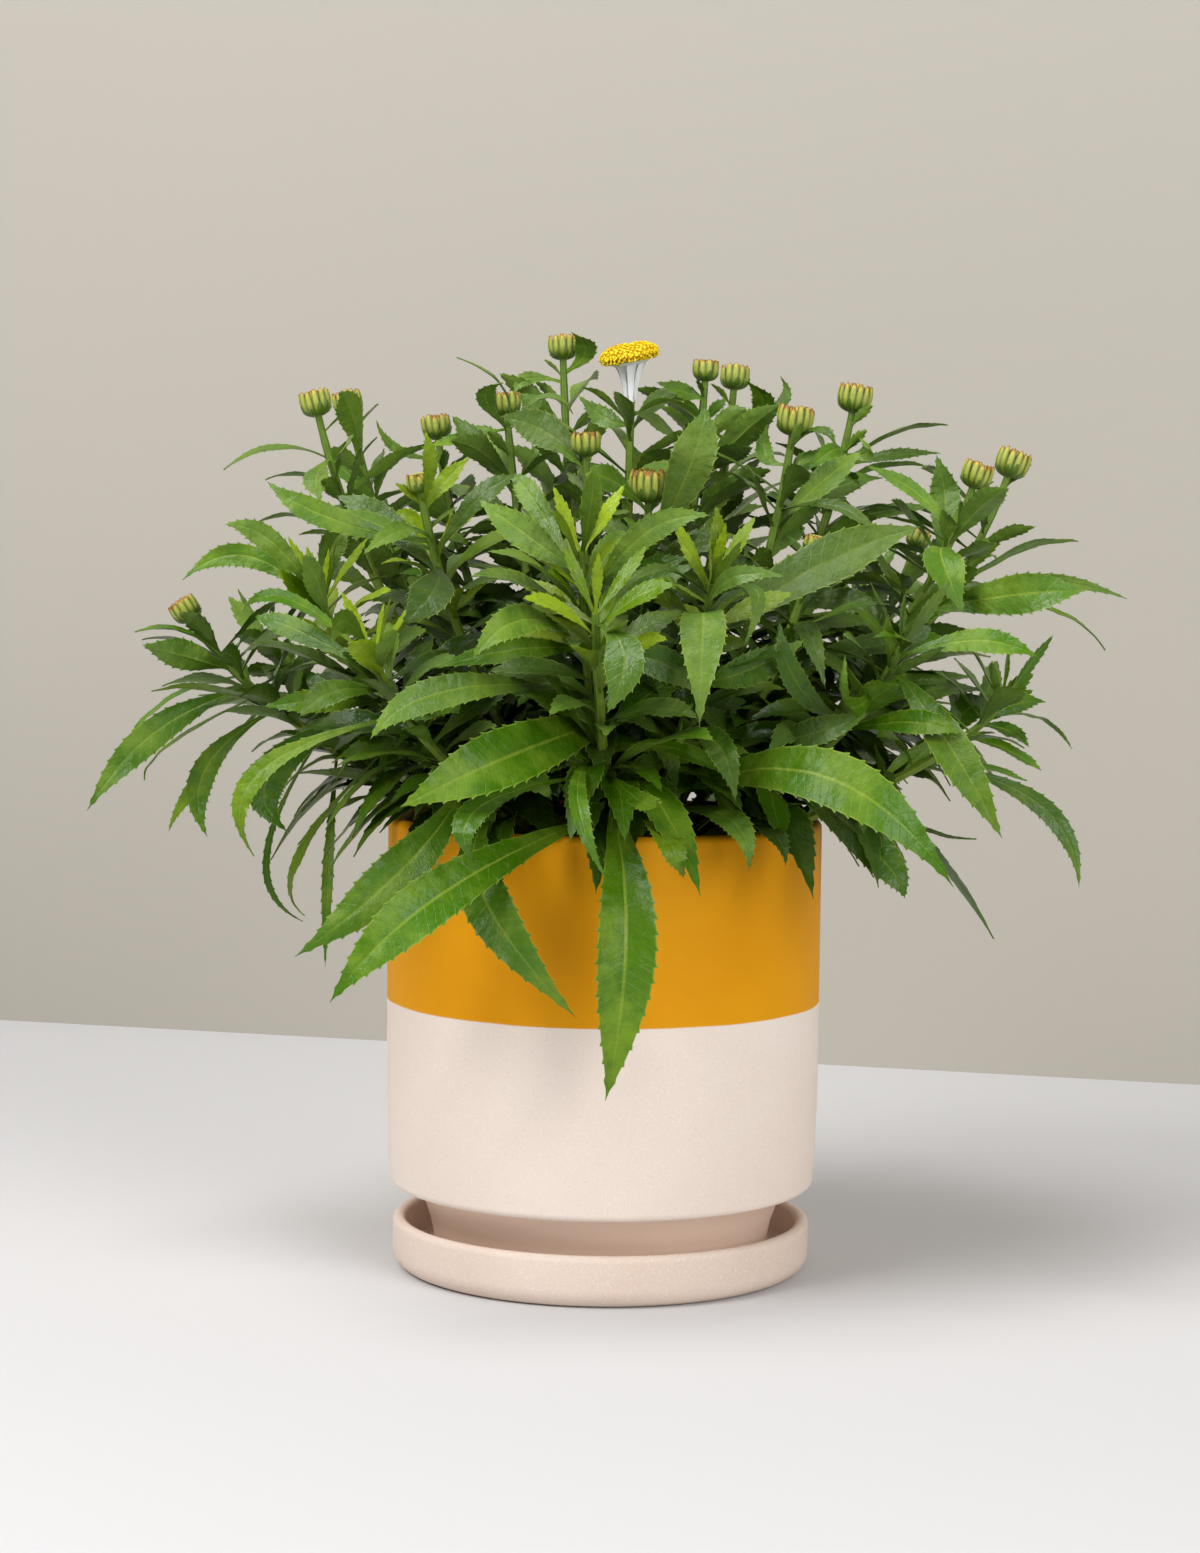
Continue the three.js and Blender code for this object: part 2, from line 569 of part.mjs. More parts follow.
const discGeometry = (curve) => {
  const { along, side, front, top } = bloomFrame(curve);
  const base = top.clone().addScaledVector(along, RECEPTACLE_HEIGHT + GAP);
  const outline = [[0.72, 0], [1, 0.2], [0.98, 0.5], [0.84, 0.74], [0.62, 0.9], [0.36, 0.98], [0.12, 0.94]];
  return loft(outline.map(([r, h], row) => ring(
    base.clone().addScaledVector(along, h * DISC_HEIGHT),
    side,
    front,
    DISC_SIDES,
    (i) => DISC_RADIUS * r * ((i + row) % 2 === 0 ? 1 : DISC_NOTCH),
  )));
};

const rayGeometry = (curve) => {
  const { along, side, front, top } = bloomFrame(curve);
  const plate = [[0.3, 0], [0.62, 0], [0.66, 1], [0.3, 1]];
  const parts = [toSolid(loft(plate.map(([r, h]) => ring(
    top.clone().addScaledVector(along, h * RECEPTACLE_HEIGHT),
    side,
    front,
    RECEPTACLE_SIDES,
    () => DISC_RADIUS * r,
  ))))];
  for (let i = 0; i < RAY_COUNT; i++) {
    const angle = degrees(360 * i / RAY_COUNT);
    const out = side.clone().multiplyScalar(Math.cos(angle)).addScaledVector(front, Math.sin(angle));
    const foot = top.clone().addScaledVector(along, RECEPTACLE_HEIGHT / 2)
      .addScaledVector(out, RAY_ROOT_RADIUS);
    const end = alongStem(curve, 0.9).addScaledVector(out, RAY_END_RADIUS);
    end.z = foot.z - RAY_LENGTH;
    const control = foot.clone().lerp(end, 0.5).addScaledVector(out, -RAY_HOLLOW);
    const across = out.clone().cross(along);
    parts.push(toSolid(bladeGeometry({ root: foot, control, tip: end, width: RAY_WIDTH, across })));
  }
  return toGeometry(parts.reduce((whole, part) => whole.add(part)));
};

// Soil: fills the pot to just under its rim, lumpy on top, with a plain hole for each stem.
// Crumbs left standing loose between crowded holes are dropped.
const soilGeometry = (curves) => {
  const lump = (x, y) => SOIL_LUMP * (Math.sin(x * 0.21 + y * 0.13) + Math.cos(y * 0.27 - x * 0.08));
  const outline = [
    ...potInside(GAP).reverse(),
    [SOIL_RADIUS, SOIL_LEVEL - SOIL_EDGE_DROP],
    [SOIL_RADIUS * 0.8, SOIL_LEVEL],
    [SOIL_RADIUS * SOIL_FLAT, SOIL_LEVEL],
  ];
  const rings = outline.map(([r, z]) => ring(
    point([0, 0, z]), point([1, 0, 0]), point([0, 1, 0]), SOIL_SIDES, () => r,
  ));
  for (const corner of rings.slice(4, -1).flat()) corner.z += lump(corner.x, corner.y);
  const holes = curves.map((curve) => toSolid(stemGeometry(curve, 1, GAP)));
  const pieces = holes.reduce((soil, hole) => soil.subtract(hole), toSolid(loft(rings))).decompose();
  return toGeometry(pieces.reduce((most, piece) => (piece.volume() > most.volume() ? piece : most)));
};

const stemCurves = new Map(STEMS.map(([number, tip]) => [number, stemCurve(tip)]));
const soil = soilGeometry([...stemCurves.values()]);
const pot = potGeometry();
const saucer = saucerGeometry();
const disc = discGeometry(stemCurves.get(1));
const rays = rayGeometry(stemCurves.get(1));

place('pot', pot);
place('soil', soil);
place('disc', disc);
place('rays', rays);
const buds = new Map();
for (const [number, , budWidth] of STEMS) {
  const curve = stemCurves.get(number);
  place(number, stemGeometry(curve));
  if (budWidth > 0) {
    buds.set(number, budGeometry(curve, budWidth));
    place(`bud ${number}`, buds.get(number));
  }
}

const leavesOf = new Map(STEMS.map(([number]) => [number, []]));
const grow = (number, seed, build) => {
  const leaf = firstClear(seed, number, build);
  if (leaf === null) return;
  leavesOf.get(number).push(leaf);
  place(number, bladeGeometry(leaf));
};

const widestFirst = [...PLACED_LEAVES].sort((a, b) => b[4] - a[4]);
widestFirst.forEach((row, order) => {
  const curve = stemCurves.get(row[0]);
  grow(row[0], order + 1, (random, attempt) => placedLeaf(row, curve, random, attempt));
});
for (const [number, , , total] of STEMS) {
  const curve = stemCurves.get(number);
  for (let count = 0; count < total; count++) {
    grow(number, RULE_SEED + number * SEEDS_PER_STEM + count,
      (random, attempt) => ruledLeaf(number, count, total, curve, random, attempt));
  }
}

const leafyStem = (number) => {
  const stem = toSolid(stemGeometry(stemCurves.get(number)));
  const blades = leavesOf.get(number).map((leaf) => toSolid(bladeGeometry(leaf)));
  return toGeometry(blades.reduce((whole, blade) => whole.add(blade), stem));
};

const plant = new THREE.Group();
const addMesh = (name, geometry, color, roughness) => {
  const mesh = new THREE.Mesh(geometry, new THREE.MeshStandardMaterial({ color, roughness, metalness: 0 }));
  mesh.name = name;
  plant.add(mesh);
};

addMesh('saucer', saucer, 0xe4d2c4, 0.8);
addMesh('pot', pot, 0xd99a01, 0.65);
addMesh('soil', soil, 0x1f1712, 0.95);
for (const [number] of STEMS) {
  addMesh(`leafy_stem_${String(number).padStart(2, '0')}`, leafyStem(number), 0x4d7a26, 0.55);
}
for (const [number, bud] of buds) {
  addMesh(`bud_${String(number).padStart(2, '0')}`, bud, 0x9a9a3c, 0.6);
}
addMesh('disc_florets', disc, 0xe8b800, 0.7);
addMesh('ray_florets', rays, 0xf2f3f5, 0.6);

export default plant;
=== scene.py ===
# Shasta daisy in a two-tone ceramic pot on its saucer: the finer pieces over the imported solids.
# Sizes are millimetres in the part's own frame (+Z up, -Y the front); the objects are made in metres.
from math import atan2, cos, degrees, floor, hypot, pi, radians, sin, sqrt, tau

import bpy
from mathutils import Matrix, Quaternion, Vector
from mathutils.kdtree import KDTree
from mathutils.noise import noise


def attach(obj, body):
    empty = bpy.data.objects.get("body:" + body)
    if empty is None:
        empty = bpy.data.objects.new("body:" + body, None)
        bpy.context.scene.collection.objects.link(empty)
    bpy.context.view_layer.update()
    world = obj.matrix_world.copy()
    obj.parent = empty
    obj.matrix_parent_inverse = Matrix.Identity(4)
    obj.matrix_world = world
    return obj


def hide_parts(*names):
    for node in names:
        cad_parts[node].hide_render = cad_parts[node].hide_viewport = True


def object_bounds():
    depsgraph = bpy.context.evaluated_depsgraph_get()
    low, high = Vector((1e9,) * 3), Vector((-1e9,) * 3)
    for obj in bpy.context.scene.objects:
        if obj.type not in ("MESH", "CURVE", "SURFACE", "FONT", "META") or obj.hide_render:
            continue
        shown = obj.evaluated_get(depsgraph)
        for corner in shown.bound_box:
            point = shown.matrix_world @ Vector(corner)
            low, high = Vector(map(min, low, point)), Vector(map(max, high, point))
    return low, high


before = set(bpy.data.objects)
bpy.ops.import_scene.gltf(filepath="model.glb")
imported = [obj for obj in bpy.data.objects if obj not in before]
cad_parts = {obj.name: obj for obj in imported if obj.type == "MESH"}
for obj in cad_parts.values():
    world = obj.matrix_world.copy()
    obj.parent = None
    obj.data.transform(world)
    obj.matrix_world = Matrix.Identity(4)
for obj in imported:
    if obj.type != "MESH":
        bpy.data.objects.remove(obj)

CAD_LOW, CAD_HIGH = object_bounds()
MM = 0.001
UP = Vector((0, 0, 1))
ACROSS = Vector((1, 0, 0))

# Stems, as in the solids
CROWN = (5, -12)
CROWN_SPREAD = 0.22
STEM_FOOT = 146
STEM_SPLAY = 0.78
STEM_KNEE = 0.5
STEM_BASE_RADIUS = 2.4
STEM_TIP_RADIUS = 1.5
STEM_STEPS = 3

# Blades, as in the solids
BLADE_THICKNESS = 0.7
BLADE_SHAPE_PEAK = 0.58
BLADE_TIP_WIDTH = 0.8
LEAF_TRIES = 48
SHIFT_STEP = 0.8
BEND_SHARE = 0.7
MATCH = 0.03

# Directions that a listed blade's upper face looks in
FRONT = (0, -1, 0.35)
TOP = (0, -0.45, 1)
BACK = (0, 1, 0.4)

# One row a stem: number, tip (x, y, z), width of the bud on it (0 for a leafy tip), leaves added by rule
STEMS = (
    (1, (7, 1, 312), 0, 2),
    (2, (-101, 10, 294), 11, 2),
    (3, (-92, 38, 295), 10.5, 4),
    (4, (-61, 42, 287), 10.5, 4),
    (5, (-36, 22, 295), 10, 3),
    (6, (-17, 52, 316), 10.5, 4),
    (7, (-8, -22, 281), 10, 3),
    (8, (44, 48, 306), 10.5, 4),
    (9, (33, 22, 308), 9, 2),
    (10, (62, -12, 289), 12.5, 2),
    (11, (85, 28, 298), 12, 4),
    (12, (124, -8, 272), 11, 3),
    (13, (140, 28, 276), 12, 4),
    (14, (13, -45, 266), 13, 1),
    (15, (-144, 5, 223), 10, 1),
    (16, (68, -40, 249), 8, 3),
    (17, (111, 62, 250), 8.5, 5),
    (18, (-62, -55, 268), 8, 2),
    (19, (-9, -80, 250), 0, 2),
    (20, (33, -78, 240), 0, 1),
    (21, (-95, -50, 232), 0, 1),
    (22, (-75, -88, 215), 0, 2),
    (23, (-4, -108, 231), 0, 2),
    (24, (97, -52, 219), 0, 1),
    (25, (132, -45, 201), 0, 1),
    (26, (-123, 60, 211), 0, 7),
    (27, (-18, 110, 266), 0, 7),
    (28, (35, 118, 259), 0, 7),
    (29, (95, 105, 230), 0, 7),
    (30, (-70, 100, 232), 0, 7),
)

# Listed leaves: stem, place along it, middle and tip of the midrib, width, facing if it isn't FRONT
PLACED_LEAVES = (
    (1, 0.88, (-1, 8, 294), (-11, 10, 302), 8),
    (2, 0.90, (-115, 4, 283), (-132, -6, 275), 5, TOP),
    (2, 0.90, (-100, -6, 273), (-98, -14, 265), 10),
    (4, 0.95, (-75, 34, 283), (-82, 28, 293), 5),
    (5, 0.97, (-52, 14, 287), (-64, 8, 283), 6, TOP),
    (5, 0.97, (-38, 12, 304), (-54, 10, 313), 4, TOP),
    (5, 0.97, (-23, 26, 302), (-13, 20, 296), 6, TOP),
    (5, 0.97, (-43, 10, 301), (-37, 4, 306), 8),
    (5, 0.97, (-29, 28, 301), (-35, 32, 306), 8),
    (5, 0.59, (-16, -40, 246), (-29, -50, 259), 9),
    (6, 0.95, (-29, 46, 309), (-34, 44, 303), 6),
    (6, 0.97, (-9, 48, 319), (-14, 40, 325), 9),
    (7, 0.97, (-21, -16, 290), (-37, -14, 296), 14),
    (7, 0.66, (10, -48, 243), (27, -56, 248), 9),
    (8, 0.92, (54, 38, 300), (47, 32, 309), 9),
    (8, 0.92, (61, 54, 301), (61, 56, 311), 5),
    (9, 0.96, (26, 18, 304), (16, 12, 307), 7),
    (10, 0.86, (32, -8, 284), (14, -4, 280), 6, TOP),
    (10, 0.93, (53, -8, 282), (54, -6, 293), 7),
    (10, 0.97, (70, -20, 291), (76, -26, 285), 6, TOP),
    (10, 0.82, (76, -24, 265), (91, -34, 255), 7, TOP),
    (10, 0.55, (77, -30, 234), (91, -34, 225), 10),
    (11, 0.91, (77, 18, 284), (68, 12, 277), 8),
    (11, 0.90, (90, 22, 284), (87, 20, 289), 8),
    (11, 0.87, (98, 34, 283), (117, 34, 284), 5),
    (11, 0.76, (73, 16, 271), (86, 8, 263), 8),
    (11, 0.73, (96, 36, 263), (116, 40, 265), 6),
    (12, 0.87, (105, -4, 270), (88, 0, 279), 7),
    (12, 0.78, (116, 6, 264), (113, 8, 283), 12),
    (12, 0.83, (112, -26, 248), (119, -36, 230), 15),
    (12, 0.66, (135, -30, 236), (159, -36, 238), 15),
    (13, 0.68, (151, 16, 240), (181, 14, 234), 6),
    (13, 0.65, (155, 34, 230), (177, 36, 215), 4, TOP),
    (14, 0.17, (18, -96, 162), (25, -102, 147), 12, TOP),
    (20, 0.17, (39, -84, 165), (46, -94, 149), 10, TOP),
    (14, 0.41, (-24, -112, 190), (-61, -132, 174), 21),
    (14, 0.85, (26, -56, 277), (31, -52, 297), 16),
    (14, 0.97, (4, -52, 279), (-4, -54, 283), 10),
    (20, 0.20, (66, -104, 181), (110, -108, 146), 20),
    (19, 0.44, (-15, -80, 203), (-45, -88, 205), 13),
    (15, 0.78, (-144, -6, 211), (-159, -12, 215), 12, BACK),
    (15, 0.80, (-142, 4, 220), (-159, 6, 220), 8, TOP),
    (15, 0.75, (-154, 8, 194), (-168, 2, 175), 6, TOP),
    (15, 0.70, (-153, -14, 186), (-176, -24, 159), 12),
    (15, 0.67, (-153, 16, 179), (-162, 18, 166), 5, TOP),
    (15, 0.64, (-143, 26, 167), (-155, 30, 147), 6),
    (15, 0.61, (-138, -2, 172), (-137, -8, 149), 10),
    (16, 0.12, (50, -76, 162), (58, -88, 150), 9, TOP),
    (16, 0.39, (84, -64, 157), (98, -70, 138), 14),
    (16, 0.75, (65, -60, 225), (71, -70, 206), 8),
    (16, 0.38, (63, -66, 190), (86, -62, 198), 12),
    (18, 0.87, (-90, -62, 259), (-112, -58, 271), 10),
    (18, 0.83, (-43, -58, 266), (-31, -56, 274), 9),
    (18, 0.95, (-55, -52, 271), (-46, -52, 280), 7),
    (18, 0.97, (-61, -60, 275), (-64, -60, 285), 6),
    (18, 0.88, (-67, -72, 256), (-79, -82, 248), 8),
    (18, 0.80, (-56, -80, 237), (-66, -88, 226), 15),
    (18, 0.59, (-50, -84, 205), (-67, -90, 196), 12),
    (19, 0.35, (-9, -116, 174), (0, -122, 149), 7, TOP),
    (19, 0.56, (-50, -104, 206), (-74, -114, 191), 12),
    (19, 0.71, (-26, -112, 229), (-42, -122, 217), 12),
    (19, 0.80, (10, -94, 255), (32, -98, 262), 10),
    (19, 0.98, (-6, -86, 264), (-5, -88, 278), 8),
    (19, 0.93, (-25, -88, 254), (-42, -84, 266), 12),
    (19, 0.89, (-24, -62, 265), (-32, -52, 274), 9),
    (19, 0.80, (-22, -100, 245), (-38, -108, 250), 10, TOP),
    (19, 0.68, (-28, -92, 218), (-58, -98, 211), 9),
    (20, 0.81, (30, -100, 229), (29, -112, 196), 16),
    (20, 0.96, (16, -92, 245), (4, -96, 236), 5, TOP),
    (20, 0.88, (38, -98, 242), (56, -102, 243), 7),
    (20, 0.95, (47, -88, 238), (43, -94, 220), 6),
    (20, 0.98, (35, -82, 253), (34, -82, 265), 6),
    (20, 0.96, (27, -80, 248), (21, -82, 257), 5),
    (20, 0.78, (65, -62, 244), (102, -58, 259), 19),
    (20, 0.65, (45, -78, 212), (64, -70, 222), 12),
    (20, 0.47, (35, -98, 190), (41, -104, 172), 10),
    (21, 0.98, (-110, -60, 251), (-125, -66, 257), 9),
    (21, 0.94, (-119, -40, 246), (-142, -38, 238), 9),
    (21, 0.98, (-101, -58, 235), (-107, -66, 243), 8),
    (21, 0.98, (-98, -54, 242), (-101, -52, 250), 5),
    (21, 0.96, (-92, -44, 249), (-85, -42, 256), 10),
    (21, 0.60, (-111, -44, 175), (-105, -52, 155), 14),
    (21, 0.50, (-103, -20, 146), (-102, -24, 124), 6, TOP),
    (21, 0.61, (-91, -66, 200), (-112, -70, 198), 10),
    (22, 0.96, (-101, -84, 233), (-117, -92, 230), 6),
    (22, 0.93, (-100, -74, 223), (-115, -66, 227), 9),
    (22, 0.98, (-83, -98, 227), (-87, -106, 220), 9),
    (22, 0.73, (-110, -96, 179), (-112, -98, 152), 8),
    (22, 0.40, (-63, -100, 150), (-98, -106, 121), 17),
    (22, 0.84, (-86, -98, 205), (-97, -104, 197), 10),
    (23, 0.37, (-39, -122, 171), (-39, -130, 153), 10, TOP),
    (23, 0.39, (11, -120, 173), (17, -128, 174), 8),
    (23, 0.96, (5, -124, 219), (0, -128, 201), 14),
    (23, 0.20, (-50, -120, 144), (-85, -130, 110), 18),
    (22, 0.25, (-31, -108, 146), (4, -112, 105), 17),
    (23, 0.31, (7, -108, 132), (1, -100, 75), 21),
    (23, 0.82, (15, -98, 216), (29, -96, 205), 12),
    (24, 0.95, (120, -62, 222), (140, -68, 217), 10),
    (24, 0.97, (96, -62, 223), (86, -72, 223), 9, TOP),
    (24, 0.84, (78, -80, 201), (76, -88, 218), 10),
    (24, 0.91, (109, -82, 191), (127, -92, 160), 14),
    (24, 0.61, (97, -76, 196), (114, -84, 193), 10),
    (24, 0.50, (99, -40, 161), (124, -44, 155), 6, TOP),
    (24, 0.65, (62, -84, 203), (55, -92, 223), 9),
    (25, 0.92, (137, -24, 200), (144, -26, 204), 8),
    (25, 0.89, (147, -10, 194), (160, -8, 183), 5, TOP),
    (25, 0.85, (134, -34, 191), (141, -42, 186), 8, TOP),
    (25, 0.78, (133, -40, 185), (144, -52, 179), 9, TOP),
    (25, 0.67, (126, -58, 180), (137, -72, 177), 7, TOP),
    (25, 0.62, (147, -30, 165), (160, -34, 138), 8),
    (26, 0.62, (-121, 44, 139), (-108, 40, 114), 4, TOP),
    (26, 0.59, (-97, 20, 138), (-98, 16, 101), 5, TOP),
)

# Leaves added by rule; a form runs from the lowest leaf to the highest
GOLDEN_ANGLE = 137.5
RULE_REACH = (0.16, 0.98)
LEAF_FORM = {"length": (82, 38), "rise": (30, 46), "droop": (0.5, 0.22)}
LEAF_SLENDERNESS = 0.22
OUTWARD_LEAN = 0.9
TURN_JITTER = 14
TURN_WIDEN = 4.5
RISE_JITTER = 9
RISE_WIDEN = 1.2
SHORTEN = 0.011
LENGTH_JITTER = 0.18
DROOP_JITTER = 0.4
ARCH = 0.55
AGEING = 1.5
TURN_PER_STEM = 61
LOWEST_LEAF = 96
RULE_SEED = 1000
SEEDS_PER_STEM = 40

# The random streams: the generator's numbers and the seeds of the finer pieces
STREAM_FACTOR = 16807
STREAM_LENGTH = 2147483647
SEED_FACTOR = 7919
SEED_SHIFT = 104729
BLADE_SEED = 900
EXTRA_SEED = 70000
BUD_SEED = 4000
DISC_SEED = 5100
RAY_SEED = 5200
PERLITE_SEED = 6100

# Finer blades
COLUMNS = (1, 0.66, 0.33, 0.08, 0, -0.08, -0.33, -0.66, -1)
SMALL_COLUMNS = (1, 0.5, 0, -0.5, -1)
TOOTH = ((0, 0), (0.66, 0.12), (0.9, 1))
SMALL_TOOTH = ((0, 0), (0.8, 1))
TIP_STATIONS = ((0.97, 0), (0.99, 0.5), (1, 1))
FOOT_STATIONS = 5
FEWEST_TEETH = 3
TOOTH_PITCH = 1.9
TOOTH_PITCH_PER_LENGTH = 0.036
TOOTHED_FROM = 0.24
TOOTHED_TO = 0.95
TOOTH_DEPTH = 0.4
TOOTH_DEPTH_PER_WIDTH = 0.055
DEEPEST_TOOTH = 0.3
INNER_DEPTH = 0.6
TOOTH_LEAN = 0.55
FOOT_HALF = 0.7
FOOT_HALF_PER_WIDTH = 0.045
TIP_HALF = 0.1
SWELL_POWER = 1.3
TAPER_POWER = 1.08
MIDDLE_THICKNESS = 0.55
EDGE_THINNING = 0.7
FULL_RELIEF_HALF = 3
TWIST = (-16, 16)
FOLD = (0.045, 0.225)
FOLD_SINK = 0.45
WAVES = (1.2, 2.4)
WAVE_SHIFT = 0.27
RIPPLE = (0.032, 0.12)
RIB_HEIGHT = 0.5
GROOVE_DEPTH = 0.14
VEIN_SPACING = 5.2
VEIN_SLANT = 1.3
PUCKER = 0.52
CRUMPLE = 0.55
CRUMPLE_SCALE = 0.12
CRUMPLE_SHIFT = 40

# Finer stems
FINE_STEM_STEPS = 30
FINE_STEM_SIDES = 12
STEM_SLIMMING = 0.86
STEM_KNOT = 0.06
STEM_KNOT_TURNS = 43
STEM_RIB = 0.11

# Small leaves that only the dressed part has; FORM in the last two kinds is droop and slenderness
STEM_EXTRAS = 36
EXTRAS_FROM = 0.14
EXTRAS_TO_BUD = 0.86
EXTRAS_TO_TIP = 0.96
EXTRA_FORM = {"length": (52, 32), "rise": (30, 44), "droop": (0.46, 0.22)}
EXTRA_SPREAD = {"length": (0.7, 1.2), "rise": (-16, 16), "droop": (0.4, 1.6), "turn": (-20, 20)}
EXTRA_TURN = 40
EXTRA_SLENDERNESS = 0.24
RIM_EXTRAS = 5
RIM_EXTRAS_REACH = (0.12, 0.36)
RIM_SPREAD = {"turn": (-60, 60), "length": (46.5, 74.4), "rise": (22, 46), "droop": (0.574, 0.984)}
RIM_CLEARANCE = 3
UNDER_BUD = (0.9, 0.96)
UNDER_BUD_RISE = 48
UNDER_BUD_LENGTH = (12, 19)
UNDER_BUD_FORM = (0.2, 0.26)
TUFT_LEAVES = 4
TUFT_PLACE = 0.985
TUFT_RISE = (56, 84)
TUFT_LENGTH = (30, 17)
TUFT_FORM = (0.06, 0.17)
TUFT_JITTER = 40

# Painted shade, painted sheen and hue of the leaves, by their place in the crown
CROWN_MIDDLE = 190
CROWN_RADIUS = 165
CROWN_HEIGHT = 120
CROWN_UNDERSIDE = 0.8
LIT_FROM = 0.92
LIT_RANGE = 0.5
OWN_SHADE = 0.6
DEPTH_SHADE = 0.62
YOUNG_TIPS = (18, 19, 20, 21, 22, 23)
YOUNG_LENGTH = 34
YOUNG_FROM = 205
YOUNG_HUE = (0.7, 1)
SHEEN_FROM = 130
SHEEN_RANGE = 130
SHEEN_HUE_BY_HEIGHT = (0.55, 0.08)
HUE_SPREAD = 0.55

# Buds; a profile is (radius, height) in shares of the whole
GAP = 0.3
BUD_HEIGHT = 0.8
BUD_PROFILE = (
    (0.3, -0.04), (0.62, 0.04), (0.86, 0.18), (0.97, 0.38), (1, 0.6), (0.98, 0.8), (0.92, 0.94), (0.9, 1),
)
BUD_CORE_PROFILE = (
    (0.26, -0.06), (0.5, 0.05), (0.76, 0.2), (0.86, 0.45),
    (0.84, 0.7), (0.66, 0.8), (0.34, 0.82), (0.1, 0.8),
)
BUD_CORE_SIDES = 20
BUD_FLORETS = 30
BUD_FLORETS_REACH = 0.62
BUD_FLORETS_HEIGHT = 0.82
BUD_FLORET_SIZE = (0.55, 0.9)
STRIP_STEPS = 7
STRIP_COLUMNS = (1, 0.6, 0, -0.6, -1)
STRIP_RADIUS = 0.93
STRIP_CROWN = 0.08
STRIP_HALF_THICKNESS = 0.17
STRIPS_PER_WIDTH = 1.15
STRIP_JITTER = 0.16
STRIP_LAYERS = ((1, 0.8), (0, 1))
STRIP_SWELL = (0.97, 1.04)
STRIP_FOOT = 0.06
STRIP_TOP = (0.8, 1)
STRIP_WIDTH = 3.2
SCALES = 9
SCALE_JITTER = 0.4
SCALE_TOP = (0.3, 0.5)
SCALE_SWELL = 1.05
SCALE_WIDTH = 0.3

# Bloom
BLOOM_STEM = 1
BLOOM_TILT = 11
BLOOM_NOD = 0.08
DISC_RADIUS = 10.5
DISC_CORE = (9.555, 5.084)
DISC_CORE_SIDES = 40
DISC_PROFILE = ((0.04, 0.92), (0.36, 0.96), (0.62, 0.88), (0.82, 0.72), (0.96, 0.5), (1, 0.22), (0.76, 0.02))
DISC_SLOPE_STEP = 0.02
FLORETS = 330
FLORETS_REACH = 0.95
FLORET_PROFILE = ((0.55, -0.5), (0.6, 0.55), (1, 1), (0.35, 0.86))
FLORET_MOUTH = 2
FLORET_NOTCH = 0.62
FLORET_LEAN = 0.5
FLORET_RADIUS = (0.5, 0.76)
FLORET_LENGTH = (0.7, 1.25)
FLORET_SHADE = 0.6
RECEPTACLE_HEIGHT = 1.6
RECEPTACLE_PROFILE = ((0.2, -0.6), (0.42, 0), (0.6, 0.5), (0.67, 0.95), (0.3, 1))
RECEPTACLE_SIDES = 32
RAYS = 16
RAY_STEPS = 12
RAY_COLUMNS = (1, 0.5, 0, -0.5, -1)
RAY_JITTER = 0.15
RAY_FOOT_HEIGHT = 0.6
RAY_FOOT_REACH = (5.2, 4.6)
RAY_END_PLACE = 0.9
RAY_END_REACH = (2.15, 1.8)
RAY_DROP = (12.6, 14.25)
RAY_HOLLOW_PLACE = 0.42
RAY_HOLLOW = 1.9
RAY_WIDTH = 3.3
RAY_END_WIDTH = 0.5
RAY_ROUNDED_FROM = 0.85
RAY_HALF_THICKNESS = 0.15
RAY_CURL = 0.3

# Pot and saucer
SAUCER_RADIUS = 72.5
SAUCER_HEIGHT = 17.8
SAUCER_WALL = 4.6
SAUCER_FLOOR = 5
SAUCER_EDGE = 6.5
SAUCER_BEND = 2
POT_RADIUS = 75
POT_RIM = 157
POT_WALL = 5.2
POT_BOTTOM = 5.3
POT_FLOOR = 13
FOOT_RADIUS = 57
FOOT_EDGE = 1
FOOT_TOP = 28.9
FOOT_TOP_RADIUS = 64.8
FOOT_FLARE = ((0.3, 0.5), (0.62, 0.8))
BODY_CORNER = 2.6
BODY_LOW_RADIUS = 73.8
BODY_BOTTOM = 29.5
BODY_SWELL = (0.6, 0.45)
BELLY_HEIGHT = 60
FOOT_WALL = 3.5
SHELF_HEIGHT = 33
HAUNCH_RADIUS = 66
HAUNCH_BOTTOM = 35
HAUNCH_TOP = 41
TURNED_SIDES = 160
CENTRE_RADIUS = 0.5

# Glaze and bare clay: heights of the colour edge and of the painted warm reflected light and shade round the
# foot, with how far each fades
GLAZE_EDGE = 93.7
GLAZE_FADE = (-0.2, 0.4)
GLAZE_WAVER = 0.6
FOOT_BOUNCE_FADE = (1, -4)

# Soil
SOIL_LEVEL = 150
SOIL_RADIUS = 69.5
SOIL_SIDES = 120
SOIL_ROWS = 44
SOIL_MIDDLE = 0.4
SOIL_LUMPS = 0.96
SOIL_EDGE_FROM = 52
SOIL_EDGE_WIDTH = 17
SOIL_EDGE_DROP = 4
PERLITE_GRAINS = 90
PERLITE_REACH = 66
PERLITE_SIZE = (0.7, 1.8)
PERLITE_ROWS = 5
PERLITE_SIDES = 7
PERLITE_BUMPS = (0.7, 1.15)
PERLITE_RISE = 0.35
PERLITE_FLATNESS = 0.8

